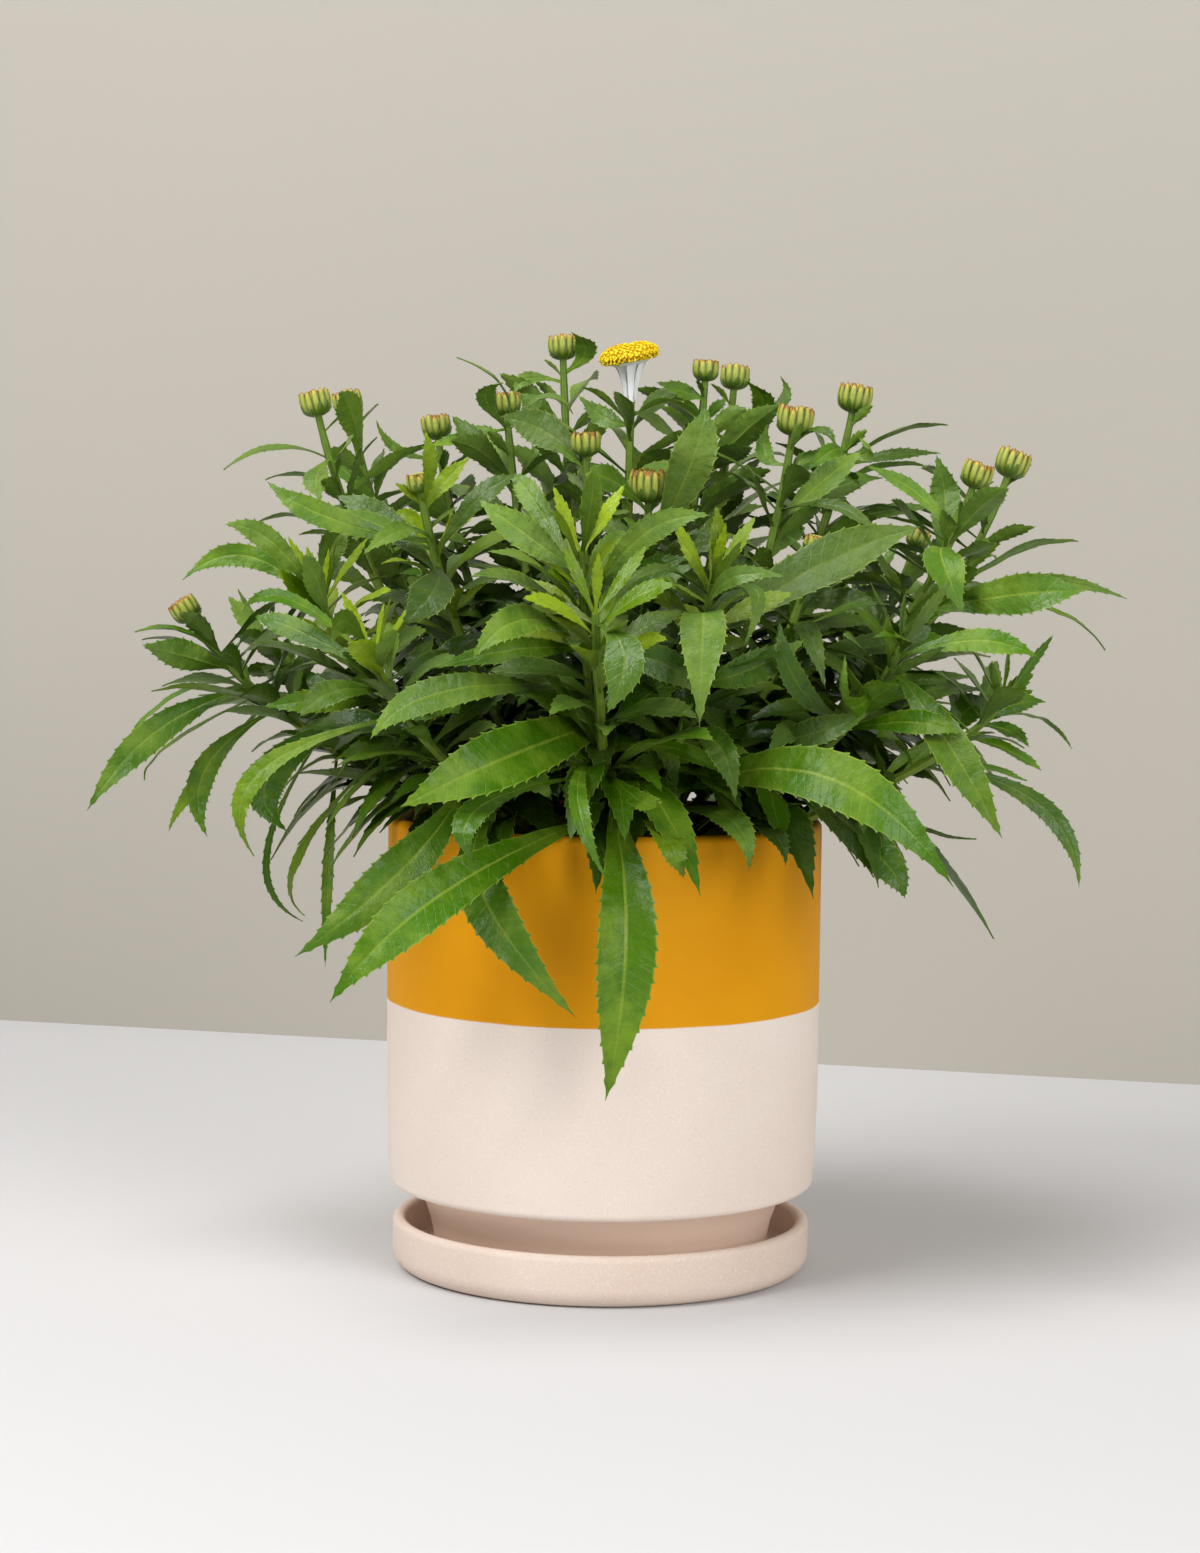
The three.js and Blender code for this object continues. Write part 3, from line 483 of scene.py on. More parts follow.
# Stage, lights and camera; the wall's foot runs askew behind the pot, as in the photograph
FLOOR_REACH = 2600
WALL_LEFT = Vector((-1100, 745, 0))
WALL_RIGHT = Vector((1100, 171, 0))
WALL_HEIGHT = 1700
LIGHT_AIM = (0, 0, 150)
LIGHTS = (
    ("key_light", (-1000, -900, 1350), 0.9, 21, (1, 0.99, 0.98)),
    ("front_light", (1400, -1900, 1100), 1.6, 33, (1, 1, 1)),
    ("top_light", (-350, -300, 1850), 0.8, 14, (1, 1, 1)),
)
WORLD_COLOR = (0.96, 0.97, 1, 1)
WORLD_STRENGTH = 0.2
PHOTO_HEIGHT = 1553
FOCAL_PIXELS = 3498
SENSOR = 36
CAMERA_PLACE = (-2, -1207, 270)
CAMERA_PITCH = 4.7
CAMERA_ROLL = 0.7

MARKS = ("along", "across", "hue", "shade", "under", "reach")


def mix(a, b, t):
    return a + (b - a) * t


def clamp(value, low=0, high=1):
    return max(low, min(high, value))


def turn_vector(angle):
    return Vector((cos(radians(angle)), sin(radians(angle)), 0))


def circle(sides):
    """The ways out from the pot's axis, evenly round it."""
    return [turn_vector(360 * k / sides) for k in range(sides)]


def square_to(direction, wish):
    return (wish - direction * wish.dot(direction)).normalized()


def frame_axes(along):
    side = square_to(along, ACROSS)
    return side, along.cross(side), along


def around(axes, angle):
    """The way out from a slanted axis at an angle in radians."""
    return axes[0] * cos(angle) + axes[1] * sin(angle)


def random_stream(seed):
    """The repeatable stream of numbers from 0 to 1 that the solids were laid out with."""
    state = (seed * SEED_FACTOR + SEED_SHIFT) * STREAM_FACTOR % STREAM_LENGTH
    while True:
        state = state * STREAM_FACTOR % STREAM_LENGTH
        yield state / STREAM_LENGTH


def between(draw, ends):
    """The stream's next number, spread between two ends."""
    return mix(*ends, next(draw))


def inside_box(corner):
    """The corner, drawn in to the solids' box."""
    ends = zip(corner, CAD_LOW, CAD_HIGH)
    return Vector(clamp(value, low / MM, high / MM) for value, low, high in ends)


def section_of(columns):
    """Corners round a strip: the place across it, then 1 for its upper side or -1 for its lower."""
    return [(v, 1) for v in columns] + [(v, -1) for v in columns[-2:0:-1]]


class Bezier:
    """A quadratic curve."""

    def __init__(self, start, control, end):
        self.start, self.control, self.end = start, control, end

    def point(self, t):
        return self.start * (1 - t) ** 2 + self.control * (2 * t * (1 - t)) + self.end * t ** 2

    def tangent(self, t):
        way = (self.control - self.start) * (1 - t) + (self.end - self.control) * t
        return way.normalized()


class Surface:
    """Vertices, faces and per-vertex marks of one mesh, in millimetres."""

    def __init__(self):
        self.points = []
        self.faces = []
        self.slots = []
        self.marks = {name: [] for name in MARKS}

    def ring(self, points, **marks):
        """Adds a ring of points; a mark is one number for all of them or a number for each."""
        self.points.extend(points)
        for name in MARKS:
            value = marks.get(name, 0)
            self.marks[name].extend([value] * len(points) if isinstance(value, (int, float)) else value)

    def loft(self, rings, sides, slot=0):
        """Joins and caps the last rings added, which turn right-handed about the way that they advance."""
        first = len(self.points) - rings * sides
        last = first + (rings - 1) * sides
        for row in range(first, last, sides):
            for side in range(sides):
                a, b = row + side, row + (side + 1) % sides
                self.faces.append((a, b, b + sides, a + sides))
                self.slots.append(slot)
        self.faces.append(tuple(range(first + sides - 1, first - 1, -1)))
        self.faces.append(tuple(range(last, last + sides)))
        self.slots.extend((slot, slot))


def add_object(name, data):
    made = bpy.data.objects.new(name, data)
    bpy.context.scene.collection.objects.link(made)
    return made


def make_piece(name, surface, materials, slot, *nodes, sharp=50):
    """Makes the mesh in metres, rides it on the part and lets it stand for its CAD nodes."""
    mesh = bpy.data.meshes.new(name)
    mesh.from_pydata([point * MM for point in surface.points], [], surface.faces)
    for mark, values in surface.marks.items():
        mesh.attributes.new(mark, "FLOAT", "POINT").data.foreach_set("value", values)
    for material in materials:
        mesh.materials.append(material)
    mesh.polygons.foreach_set("material_index", surface.slots)
    mesh.polygons.foreach_set("use_smooth", [True] * len(surface.faces))
    mesh.set_sharp_from_angle(angle=radians(sharp))
    piece = add_object(name, mesh)
    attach(piece, "root")
    if nodes:
        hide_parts(*nodes)


class Nodes:
    """Shorthand for a node material, whose colour is tinted step by step."""

    def __init__(self, name):
        self.material = bpy.data.materials.new(name)
        self.material.use_nodes = True
        self.tree = self.material.node_tree
        self.shader = self.tree.nodes["Principled BSDF"]
        self.color = None

    def node(self, kind, **settings):
        made = self.tree.nodes.new(kind)
        for key, value in settings.items():
            setattr(made, key, value)
        return made

    def link(self, source, target):
        self.tree.links.new(source, target)

    def feed(self, socket, value):
        if hasattr(value, "is_output"):
            self.link(value, socket)
        else:
            socket.default_value = value

    def mark(self, name):
        return self.node("ShaderNodeAttribute", attribute_name=name).outputs["Fac"]

    def place(self):
        return self.node("ShaderNodeTexCoord").outputs["Object"]

    def compute(self, operation, *values):
        made = self.node("ShaderNodeMath", operation=operation)
        for socket, value in zip(made.inputs, values):
            self.feed(socket, value)
        return made.outputs[0]

    def plus(self, first, second):
        return self.compute("ADD", first, second)

    def minus(self, first, second):
        return self.compute("SUBTRACT", first, second)

    def times(self, first, second):
        return self.compute("MULTIPLY", first, second)

    def size(self, value):
        return self.compute("ABSOLUTE", value)

    def step(self, value, low, high):
        """A smooth step from 0 at low to 1 at high."""
        made = self.node("ShaderNodeMapRange", interpolation_type="SMOOTHSTEP")
        self.feed(made.inputs["Value"], value)
        made.inputs["From Min"].default_value = low
        made.inputs["From Max"].default_value = high
        return made.outputs["Result"]

    def noise(self, scale, detail=3, roughness=0.5):
        made = self.node("ShaderNodeTexNoise")
        self.link(self.place(), made.inputs["Vector"])
        made.inputs["Scale"].default_value = scale
        made.inputs["Detail"].default_value = detail
        made.inputs["Roughness"].default_value = roughness
        return made.outputs["Fac"]

    def blend(self, amount, first, second):
        made = self.node("ShaderNodeMix", data_type="RGBA")
        self.feed(made.inputs["Factor"], amount)
        self.feed(made.inputs["A"], first)
        self.feed(made.inputs["B"], second)
        return made.outputs["Result"]

    def paint(self, amount, low, high):
        """Spreads the colour between two tones."""
        self.color = self.blend(amount, srgb(*low), srgb(*high))

    def tint(self, amount, share, *tone):
        """Moves the colour towards a tone, by a share of the amount."""
        amount = self.times(amount, share) if share < 1 else amount
        self.color = self.blend(amount, self.color, srgb(*tone))

    def finish(self, roughness, height=None, strength=0, depth=0, gloss=0.5):
        """Sets the colour, gloss and roughness, and a bump as deep as given in millimetres."""
        self.feed(self.shader.inputs["Base Color"], self.color)
        self.feed(self.shader.inputs["Roughness"], roughness)
        self.shader.inputs["Specular IOR Level"].default_value = gloss
        if height is not None:
            bump = self.node("ShaderNodeBump")
            bump.inputs["Strength"].default_value = strength
            bump.inputs["Distance"].default_value = depth * MM
            self.link(height, bump.inputs["Height"])
            self.link(bump.outputs["Normal"], self.shader.inputs["Normal"])
        return self.material


def linear(value):
    value /= 255
    return value / 12.92 if value <= 0.04045 else ((value + 0.055) / 1.055) ** 2.4


def srgb(red, green, blue):
    """A tone given as 0 to 255, as the linear colour that the shaders take."""
    return (linear(red), linear(green), linear(blue), 1)


def leaf_veins(made, side):
    """Side veins, which run out from the midrib towards the tip."""
    wander = made.times(made.noise(110, 2), 0.6)
    place = made.plus(made.compute("DIVIDE", made.mark("along"), VEIN_SPACING), wander)
    wave = made.compute("FRACT", made.minus(place, made.times(side, VEIN_SLANT)))
    return made.step(made.size(made.minus(wave, 0.5)), 0.07, 0)


def leaf_material():
    made = Nodes("leaf")
    side, hue, sheen_patches = made.size(made.mark("across")), made.mark("hue"), made.noise(60, 4)
    # Painted sheen: a low hue greys the upper leaves; higher hues are fresh green and, near 1, young
    # yellow-green
    made.paint(made.step(hue, 0, 0.42), (104, 138, 54), (70, 115, 0))
    made.tint(made.step(hue, 0.6, 1), 1, 160, 188, 6)
    # Painted sheen in pale patches; the same patches set the roughness below
    made.tint(made.step(sheen_patches, 0.42, 0.66), 0.38, 146, 174, 40)
    made.tint(made.step(made.noise(420, 4, 0.65), 0.45, 0.7), 0.3, 46, 84, 0)
    vein = leaf_veins(made, side)
    made.tint(vein, 0.09, 150, 172, 62)
    # The midrib is palest at the foot of the leaf
    rib_fade = made.minus(1, made.times(made.mark("reach"), 0.8))
    made.tint(made.times(made.step(side, 0.085, 0.02), rib_fade), 0.75, 160, 180, 60)
    # Painted shade: darker deep inside the crown, with a random darkness per leaf besides
    made.tint(made.mark("shade"), 0.86, 16, 38, 0)
    # Painted highlight: a pale line along the leaf's edge
    made.tint(made.step(side, 0.92, 1), 0.3, 176, 196, 78)
    made.tint(made.mark("under"), 0.3, 118, 144, 62)
    height = made.minus(made.noise(900), made.times(vein, 0.35))
    height = made.plus(height, made.times(made.noise(230), 3.4))
    roughness = made.plus(made.times(made.step(sheen_patches, 0.35, 0.7), 0.2), 0.29)
    return made.finish(roughness, height, 0.45, 0.4, gloss=0.3)


def stem_material():
    made = Nodes("stem")
    made.paint(made.step(made.mark("along"), 0, 0.9), (128, 142, 30), (108, 138, 40))
    made.tint(made.step(made.noise(420), 0.35, 0.7), 0.45, 82, 104, 28)
    # Painted shade in the stem's grooves, the inset corners where the across mark is 1
    made.tint(made.mark("across"), 0.4, 62, 82, 20)
    return made.finish(0.58, made.noise(1500), 0.5, 0.3, gloss=0.35)


def bract_material():
    """Bracts, green below and pale above, with rusty tips; the scales at the bud's foot are all green."""
    made = Nodes("bract")
    along, side = made.mark("along"), made.size(made.mark("across"))
    made.paint(made.step(along, 0.05, 0.6), (104, 128, 28), (176, 184, 78))
    made.tint(made.step(along, 0.6, 0.92), 1, 216, 188, 70)
    made.tint(made.step(side, 0.3, 1), 0.75, 74, 92, 12)
    made.tint(made.step(made.noise(620), 0.42, 0.62), 0.3, 122, 138, 40)
    tip = made.step(made.plus(along, made.times(made.mark("hue"), 0.12)), 0.86, 1.02)
    made.tint(tip, 0.85, 152, 84, 30)
    made.tint(made.mark("under"), 1, 84, 112, 26)
    return made.finish(0.5, made.noise(1300, 2), 0.3, 0.2)


def floret_material(name, low, high, tip):
    made = Nodes(name)
    made.paint(made.mark("along"), low, high)
    made.tint(made.step(made.mark("along"), 0.75, 1), 1, *tip)
    made.tint(made.mark("shade"), 0.4, *low)
    return made.finish(0.6, made.noise(1800, 2), 0.25, 0.2)


def ray_material():
    made = Nodes("ray_white")
    made.paint(made.step(made.size(made.mark("across")), 0.2, 1), (240, 240, 241), (234, 235, 237))
    made.tint(made.step(made.mark("along"), 0.12, 0), 0.3, 214, 218, 196)
    return made.finish(0.55, made.noise(1200, 2), 0.2, 0.2)


def glaze_over(made, grain, tones):
    """Paints warm reflected light and shade on the clay round the foot, and glazes it above an edge that
    wavers a little.
    """
    height = made.node("ShaderNodeSeparateXYZ")
    made.link(made.place(), height.inputs[0])
    level = made.minus(height.outputs["Z"], made.times(made.noise(60, 2), GLAZE_WAVER * MM))
    glazed = made.step(level, *((GLAZE_EDGE + fade) * MM for fade in GLAZE_FADE))
    # Painted warm reflected light and shade round the foot
    foot_bounce = made.step(level, *((BODY_BOTTOM + fade) * MM for fade in FOOT_BOUNCE_FADE))
    made.tint(foot_bounce, 0.6, 238, 204, 178)
    clay = made.color
    made.paint(made.step(made.noise(18, 4), 0.3, 0.72), *tones)
    made.tint(grain, 0.25, *tones[0])
    made.color = made.blend(glazed, clay, made.color)


def ceramic_material(name, clay, glaze=None):
    """Matte ceramic with fine grain and specks; clay and glaze are pairs of tones."""
    made = Nodes(name)
    made.paint(made.step(made.noise(14, 4), 0.3, 0.7), *clay)
    grain = made.noise(1400, 4)
    made.tint(made.step(grain, 0.5, 0.7), 0.35, 248, 240, 232)
    made.tint(made.step(made.noise(1000, 2, 0.8), 0.66, 0.72), 0.3, 176, 138, 106)
    if glaze:
        glaze_over(made, grain, glaze)
    return made.finish(0.6, made.plus(grain, made.noise(380)), 0.22, 0.2, gloss=0.15)


def soil_material():
    made = Nodes("potting_mix")
    made.paint(made.step(made.noise(160, 5), 0.35, 0.7), (28, 20, 14), (64, 46, 32))
    made.tint(made.step(made.noise(620), 0.6, 0.75), 0.6, 98, 74, 50)
    return made.finish(0.92, made.noise(480, 5), 0.9, 1.2)


def perlite_material():
    made = Nodes("perlite")
    made.paint(made.noise(700, 4), (120, 108, 88), (176, 166, 146))
    return made.finish(0.9, made.noise(1200, 4), 0.7, 0.4)


LEAF = leaf_material()
STEM = stem_material()
BRACT = bract_material()
BUD_CORE = floret_material("bud_core", (120, 134, 40), (176, 184, 84), (196, 196, 110))
DISC_FLORET = floret_material("disc_floret", (214, 170, 0), (246, 216, 0), (252, 228, 16))
RAY = ray_material()


def stem_curve(tip):
    foot = (mix(CROWN[0], tip[0], CROWN_SPREAD), mix(CROWN[1], tip[1], CROWN_SPREAD))
    out = (mix(foot[0], tip[0], STEM_SPLAY), mix(foot[1], tip[1], STEM_SPLAY))
    knee = (*out, mix(STEM_FOOT, tip[2], STEM_KNEE))
    return Bezier(Vector((*foot, STEM_FOOT)), Vector(knee), Vector(tip))


def along_stem(curve, t):
    """Place on the solid stem's middle line, which runs in straight steps."""
    step = min(floor(t * STEM_STEPS), STEM_STEPS - 1)
    start, end = curve.point(step / STEM_STEPS), curve.point((step + 1) / STEM_STEPS)
    return start.lerp(end, t * STEM_STEPS - step)


class Leaf(Bezier):
    """The midrib of a leaf with its width and the way across it."""

    def __init__(self, root, control, tip, width, across):
        super().__init__(root, control, tip)
        self.width, self.across = width, across

    def length(self):
        return (self.control - self.start).length + (self.end - self.control).length

    def tip_corners(self):
        along = (self.end - self.control).normalized()
        across = square_to(along, self.across) * (BLADE_TIP_WIDTH / 2)
        top = along.cross(across).normalized() * (BLADE_THICKNESS / 2)
        return [self.end + across * a + top * b for a in (-1, 1) for b in (-1, 1)]


def placed_leaf(row, curve, draw, attempt):
    """A try at a listed leaf, with its root on the smooth stem."""
    _, at, middle, tip, width, *other = row
    facing = other[0] if other else FRONT
    shift = Vector((next(draw) - 0.5, 2 * next(draw) - 1, next(draw) - 0.5)).normalized()
    shift *= attempt * SHIFT_STEP
    root, end = along_stem(curve, at), Vector(tip) + shift
    bend = Vector(middle) + shift * BEND_SHARE
    leaf = Leaf(root, bend * 2 - (root + end) / 2, end, width, Vector(facing).cross(end - root))
    return leaf, curve.point(at)


def arched_leaf(root, turn, rise, length, droop, slenderness):
    aim = turn_vector(turn) * cos(radians(rise)) + UP * sin(radians(rise))
    tip = root + aim * length - UP * (droop * length)
    outward = Vector((tip.x, tip.y, 0)).normalized() * OUTWARD_LEAN + UP
    return Leaf(root, root + aim * (length * ARCH), tip, length * slenderness, outward.cross(tip - root))


def ruled_leaf(number, count, total, curve, draw, attempt):
    """A try at a leaf placed by rule, with its root on the smooth stem; none if it hangs too low."""
    place = mix(*RULE_REACH, (count + 0.5) / total)
    age = place ** AGEING
    wobble = [2 * next(draw) - 1 for _ in range(4)]
    turn = number * TURN_PER_STEM + count * GOLDEN_ANGLE + wobble[0] * (TURN_JITTER + TURN_WIDEN * attempt)
    rise = mix(*LEAF_FORM["rise"], age) + wobble[1] * (RISE_JITTER + RISE_WIDEN * attempt)
    length = mix(*LEAF_FORM["length"], age) * (1 + LENGTH_JITTER * wobble[2])
    length *= 1 - SHORTEN * attempt
    droop = mix(*LEAF_FORM["droop"], age) * (1 + DROOP_JITTER * wobble[3])
    leaf = arched_leaf(along_stem(curve, place), turn, rise, length, droop, LEAF_SLENDERNESS)
    return None if leaf.end.z < LOWEST_LEAF else (leaf, curve.point(place))


def corner_tree(node):
    """The corners of a CAD node, to look a leaf's tip up in."""
    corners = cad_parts[node].data.vertices
    tree = KDTree(len(corners))
    for index, corner in enumerate(corners):
        tree.insert(corner.co / MM, index)
    tree.balance()
    return tree


def held_leaf(tree, seed, build, *given):
    """The try whose tip the solid stem holds, with its root moved on to the smooth stem."""
    draw = random_stream(seed)
    for attempt in range(LEAF_TRIES):
        made = build(*given, draw, attempt)
        if made and all(tree.find(corner)[2] < MATCH for corner in made[0].tip_corners()):
            leaf, root = made
            leaf.start = root
            return leaf
    return None


def held_leaves(curves):
    """Every leaf that the solids hold, by stem number."""
    trees = {number: corner_tree(f"leafy_stem_{number:02d}") for number in curves}
    leaves = {number: [] for number in curves}
    for order, row in enumerate(sorted(PLACED_LEAVES, key=lambda row: -row[4])):
        number = row[0]
        leaves[number].append(held_leaf(trees[number], order + 1, placed_leaf, row, curves[number]))
    for number, _, _, total in STEMS:
        for count in range(total):
            seed = RULE_SEED + number * SEEDS_PER_STEM + count
            given = (number, count, total, curves[number])
            leaves[number].append(held_leaf(trees[number], seed, ruled_leaf, *given))
    return {number: [leaf for leaf in found if leaf] for number, found in leaves.items()}


def is_free(leaf):
    """Whether the leaf stays in the solids' box and off the pot's wall and the soil."""
    if (inside_box(leaf.end) - leaf.end).length > 0:
        return False
    # The first part of a leaf may lie inside the pot, near its stem
    for step in range(3, 9):
        spot = leaf.point(step / 8)
        reach = hypot(spot.x, spot.y)
        if spot.z < POT_RIM + RIM_CLEARANCE and reach < POT_RADIUS + RIM_CLEARANCE:
            return False
    return True


def stem_extras(number, curve, last, draw):
    """Small leaves up the stem, between the modelled ones."""
    made = []
    for k in range(STEM_EXTRAS):
        at = mix(EXTRAS_FROM, last, (k + next(draw)) / STEM_EXTRAS)
        length = mix(*EXTRA_FORM["length"], at) * between(draw, EXTRA_SPREAD["length"])
        rise = mix(*EXTRA_FORM["rise"], at) + between(draw, EXTRA_SPREAD["rise"])
        droop = mix(*EXTRA_FORM["droop"], at) * between(draw, EXTRA_SPREAD["droop"])
        turn = number * TURN_PER_STEM + EXTRA_TURN + k * GOLDEN_ANGLE + between(draw, EXTRA_SPREAD["turn"])
        made.append(arched_leaf(curve.point(at), turn, rise, length, droop, EXTRA_SLENDERNESS))
    return made


def rim_extras(curve, draw):
    """Small leaves low on the stem, which hang over the pot's rim."""
    made = []
    for k in range(RIM_EXTRAS):
        root = curve.point(mix(*RIM_EXTRAS_REACH, (k + next(draw)) / RIM_EXTRAS))
        turn = degrees(atan2(root.y, root.x)) + between(draw, RIM_SPREAD["turn"])
        length, rise, droop = (between(draw, RIM_SPREAD[name]) for name in ("length", "rise", "droop"))
        made.append(arched_leaf(root, turn, rise, length, droop, EXTRA_SLENDERNESS))
    return made


def under_bud_extras(curve, draw):
    """Two short leaves under a bud."""
    made = []
    for at in UNDER_BUD:
        turn, length = 360 * next(draw), between(draw, UNDER_BUD_LENGTH)
        made.append(arched_leaf(curve.point(at), turn, UNDER_BUD_RISE, length, *UNDER_BUD_FORM))
    return made


def tuft_extras(curve, draw):
    """The young leaves that stand up on a leafy tip."""
    made = []
    for k in range(TUFT_LEAVES):
        turn = k * GOLDEN_ANGLE + TUFT_JITTER * next(draw)
        rise, length = (mix(*ends, k / TUFT_LEAVES) for ends in (TUFT_RISE, TUFT_LENGTH))
        made.append(arched_leaf(curve.point(TUFT_PLACE), turn, rise, length, *TUFT_FORM))
    return made


def extra_leaves(number, curve, bud_width):
    """The small leaves of one stem that fit."""
    draw = random_stream(EXTRA_SEED + number)
    made = stem_extras(number, curve, EXTRAS_TO_BUD if bud_width else EXTRAS_TO_TIP, draw)
    made += rim_extras(curve, draw)
    if bud_width:
        made += under_bud_extras(curve, draw)
    elif number != BLOOM_STEM:
        made += tuft_extras(curve, draw)
    return [leaf for leaf in made if is_free(leaf)]


def leaf_hue_and_sheen(leaf, number, draw):
    """0 for upper leaves, greyed as painted sheen, 0.5 for fresh lower ones and 1 for young ones at leafy
    tips.
    """
    spread = next(draw)
    if number in YOUNG_TIPS and leaf.length() < YOUNG_LENGTH and leaf.start.z > YOUNG_FROM:
        return mix(*YOUNG_HUE, spread)
    height = clamp((leaf.end.z - SHEEN_FROM) / SHEEN_RANGE)
    return clamp(mix(*SHEEN_HUE_BY_HEIGHT, height) + HUE_SPREAD * (spread - 0.5))


def depth_shade(spot):
    """How far inside the crown of leaves a spot is, for the painted shade: 0 at its outside, 1 well inside.
    """
    low = 1 if spot.z > CROWN_MIDDLE else CROWN_UNDERSIDE
    out = hypot(spot.x, spot.y) / CROWN_RADIUS
    up = (spot.z - CROWN_MIDDLE) * low / CROWN_HEIGHT
    return clamp((LIT_FROM - sqrt(out ** 2 + up ** 2)) / LIT_RANGE)


def blade_shape(t):
    if t < BLADE_SHAPE_PEAK:
        return sin(t / BLADE_SHAPE_PEAK * pi / 2) ** SWELL_POWER
    past = (t - BLADE_SHAPE_PEAK) / (1 - BLADE_SHAPE_PEAK)
    return max(0, cos(past * pi / 2)) ** TAPER_POWER


def blade_stations(length, tooth):
    """Places along a blade with how far its edge stands out there: 0 between teeth, 1 on a tooth."""
    pitch = TOOTH_PITCH + TOOTH_PITCH_PER_LENGTH * length
    teeth = max(FEWEST_TEETH, round((TOOTHED_TO - TOOTHED_FROM) * length / pitch))
    stations = [(TOOTHED_FROM * k / FOOT_STATIONS, 0.5) for k in range(FOOT_STATIONS)]
    for count in range(teeth):
        stations += [(mix(TOOTHED_FROM, TOOTHED_TO, (count + place) / teeth), out) for place, out in tooth]
    return [*stations, *TIP_STATIONS]


class Blade:
    """The fine form of one leaf: how it folds, twists, ripples and crumples."""

    def __init__(self, leaf, draw):
        self.leaf = leaf
        self.length = leaf.length()
        self.shade = next(draw) ** 2
        self.phase = next(draw)
        self.waves = between(draw, WAVES)
        self.fold = between(draw, FOLD)
        self.twist = radians(between(draw, TWIST))
        self.ripple = between(draw, RIPPLE)

    def lift(self, t, v, level, half):
        """How far a corner stands off the blade's plane."""
        side = abs(v)
        slim = clamp(half / FULL_RELIEF_HALF)
        wave = sin(tau * (t * self.waves + self.phase + (WAVE_SHIFT if v > 0 else 0)))
        vein = sin(tau * (t * self.length / VEIN_SPACING - VEIN_SLANT * side))
        spot = Vector((t * self.length, v * half, CRUMPLE_SHIFT * self.phase)) * CRUMPLE_SCALE
        lift = half * (self.fold * (side ** 1.3 - FOLD_SINK) + self.ripple * side * side * wave)
        lift += slim * (PUCKER * vein * side * (1 - side) + CRUMPLE * noise(spot))
        if v == 0:
            lift -= slim * (GROOVE_DEPTH if level > 0 else RIB_HEIGHT * (1 - t))
        return lift + level * MIDDLE_THICKNESS / 2 * (1 - EDGE_THINNING * side)

    def corners(self, t, out, section):
        """One cross-section of the blade; out says how far its edge stands out there."""
        along = self.leaf.tangent(t)
        across = square_to(along, self.leaf.across)
        across.rotate(Quaternion(along, self.twist * sin(pi * t)))
        top = along.cross(across)
        centre = self.leaf.point(t)
        slimmest = mix(FOOT_HALF + FOOT_HALF_PER_WIDTH * self.leaf.width, TIP_HALF, t)
        half = max(self.leaf.width / 2 * blade_shape(t), slimmest)
        depth = min((TOOTH_DEPTH + TOOTH_DEPTH_PER_WIDTH * half) * (1 - out), half * DEEPEST_TOOTH)
        lean = along * (TOOTH_LEAN if out == 1 and t < 1 else 0)
        points = []
        for v, level in section:
            spot = centre + top * self.lift(t, v, level, half)
            if abs(v) == 1:
                spot += across * (v * (half - depth)) + lean
            else:
                spot += across * (v * (half - depth * INNER_DEPTH))
            points.append(inside_box(spot))
        return points


def fine_blade(surface, leaf, hue, draw, columns, tooth):
    """A thin toothed blade, folded along its midrib, puckered between its veins and a little crumpled."""
    blade = Blade(leaf, draw)
    section = section_of(columns)
    stations = blade_stations(blade.length, tooth)
    for t, out in stations:
        surface.ring(
            blade.corners(t, out, section),
            along=t * blade.length,
            across=[v for v, _ in section],
            hue=hue,
            shade=clamp(OWN_SHADE * blade.shade + DEPTH_SHADE * depth_shade(leaf.point(t))),
            under=[0 if level > 0 else 1 for _, level in section],
            reach=t,
        )
    surface.loft(len(stations), len(section))


def fine_stem(surface, curve):
    """A ribbed, slightly knotty stem."""
    for step in range(FINE_STEM_STEPS + 1):
        t = step / FINE_STEM_STEPS
        axes = frame_axes(curve.tangent(t))
        knot = 1 + STEM_KNOT * sin(t * STEM_KNOT_TURNS)
        radius = mix(STEM_BASE_RADIUS, STEM_TIP_RADIUS, t) * STEM_SLIMMING * knot
        points, groove_shade = [], []
        for k in range(FINE_STEM_SIDES):
            out = around(axes, tau * k / FINE_STEM_SIDES)
            points.append(curve.point(t) + out * (radius * (1 - STEM_RIB * (k % 2))))
            # 1 marks the inset groove corners, for the stem's painted shade
            groove_shade.append(float(k % 2))
        surface.ring(points, along=t, across=groove_shade)
    surface.loft(FINE_STEM_STEPS + 1, FINE_STEM_SIDES, slot=1)


def build_leafy_stem(number, curve, bud_width, held):
    surface = Surface()
    draw = random_stream(BLADE_SEED + number)
    for leaf in held:
        fine_blade(surface, leaf, leaf_hue_and_sheen(leaf, number, draw), draw, COLUMNS, TOOTH)
    for leaf in extra_leaves(number, curve, bud_width):
        fine_blade(surface, leaf, leaf_hue_and_sheen(leaf, number, draw), draw, SMALL_COLUMNS, SMALL_TOOTH)
    fine_stem(surface, curve)
    make_piece(f"stem_{number:02d}_leaves", surface, (LEAF, STEM), "foliage", f"leafy_stem_{number:02d}")


def profile_at(profile, u):
    """Point on a profile at a share u of its rows."""
    place = clamp(u, 0, 0.9999) * (len(profile) - 1)
    row = floor(place)
    (r0, h0), (r1, h1) = profile[row], profile[row + 1]
    return mix(r0, r1, place - row), mix(h0, h1, place - row)


def turned_rings(surface, base, axes, profile, size, sides, **marks):
    """Lofts a round body of a size (radius, height) from a profile that runs upwards."""
    radius, height = size
    outs = [around(axes, tau * k / sides) for k in range(sides)]
    for r, h in profile:
        surface.ring([base + out * (radius * r) + axes[2] * (h * height) for out in outs], **marks)
    surface.loft(len(profile), sides)


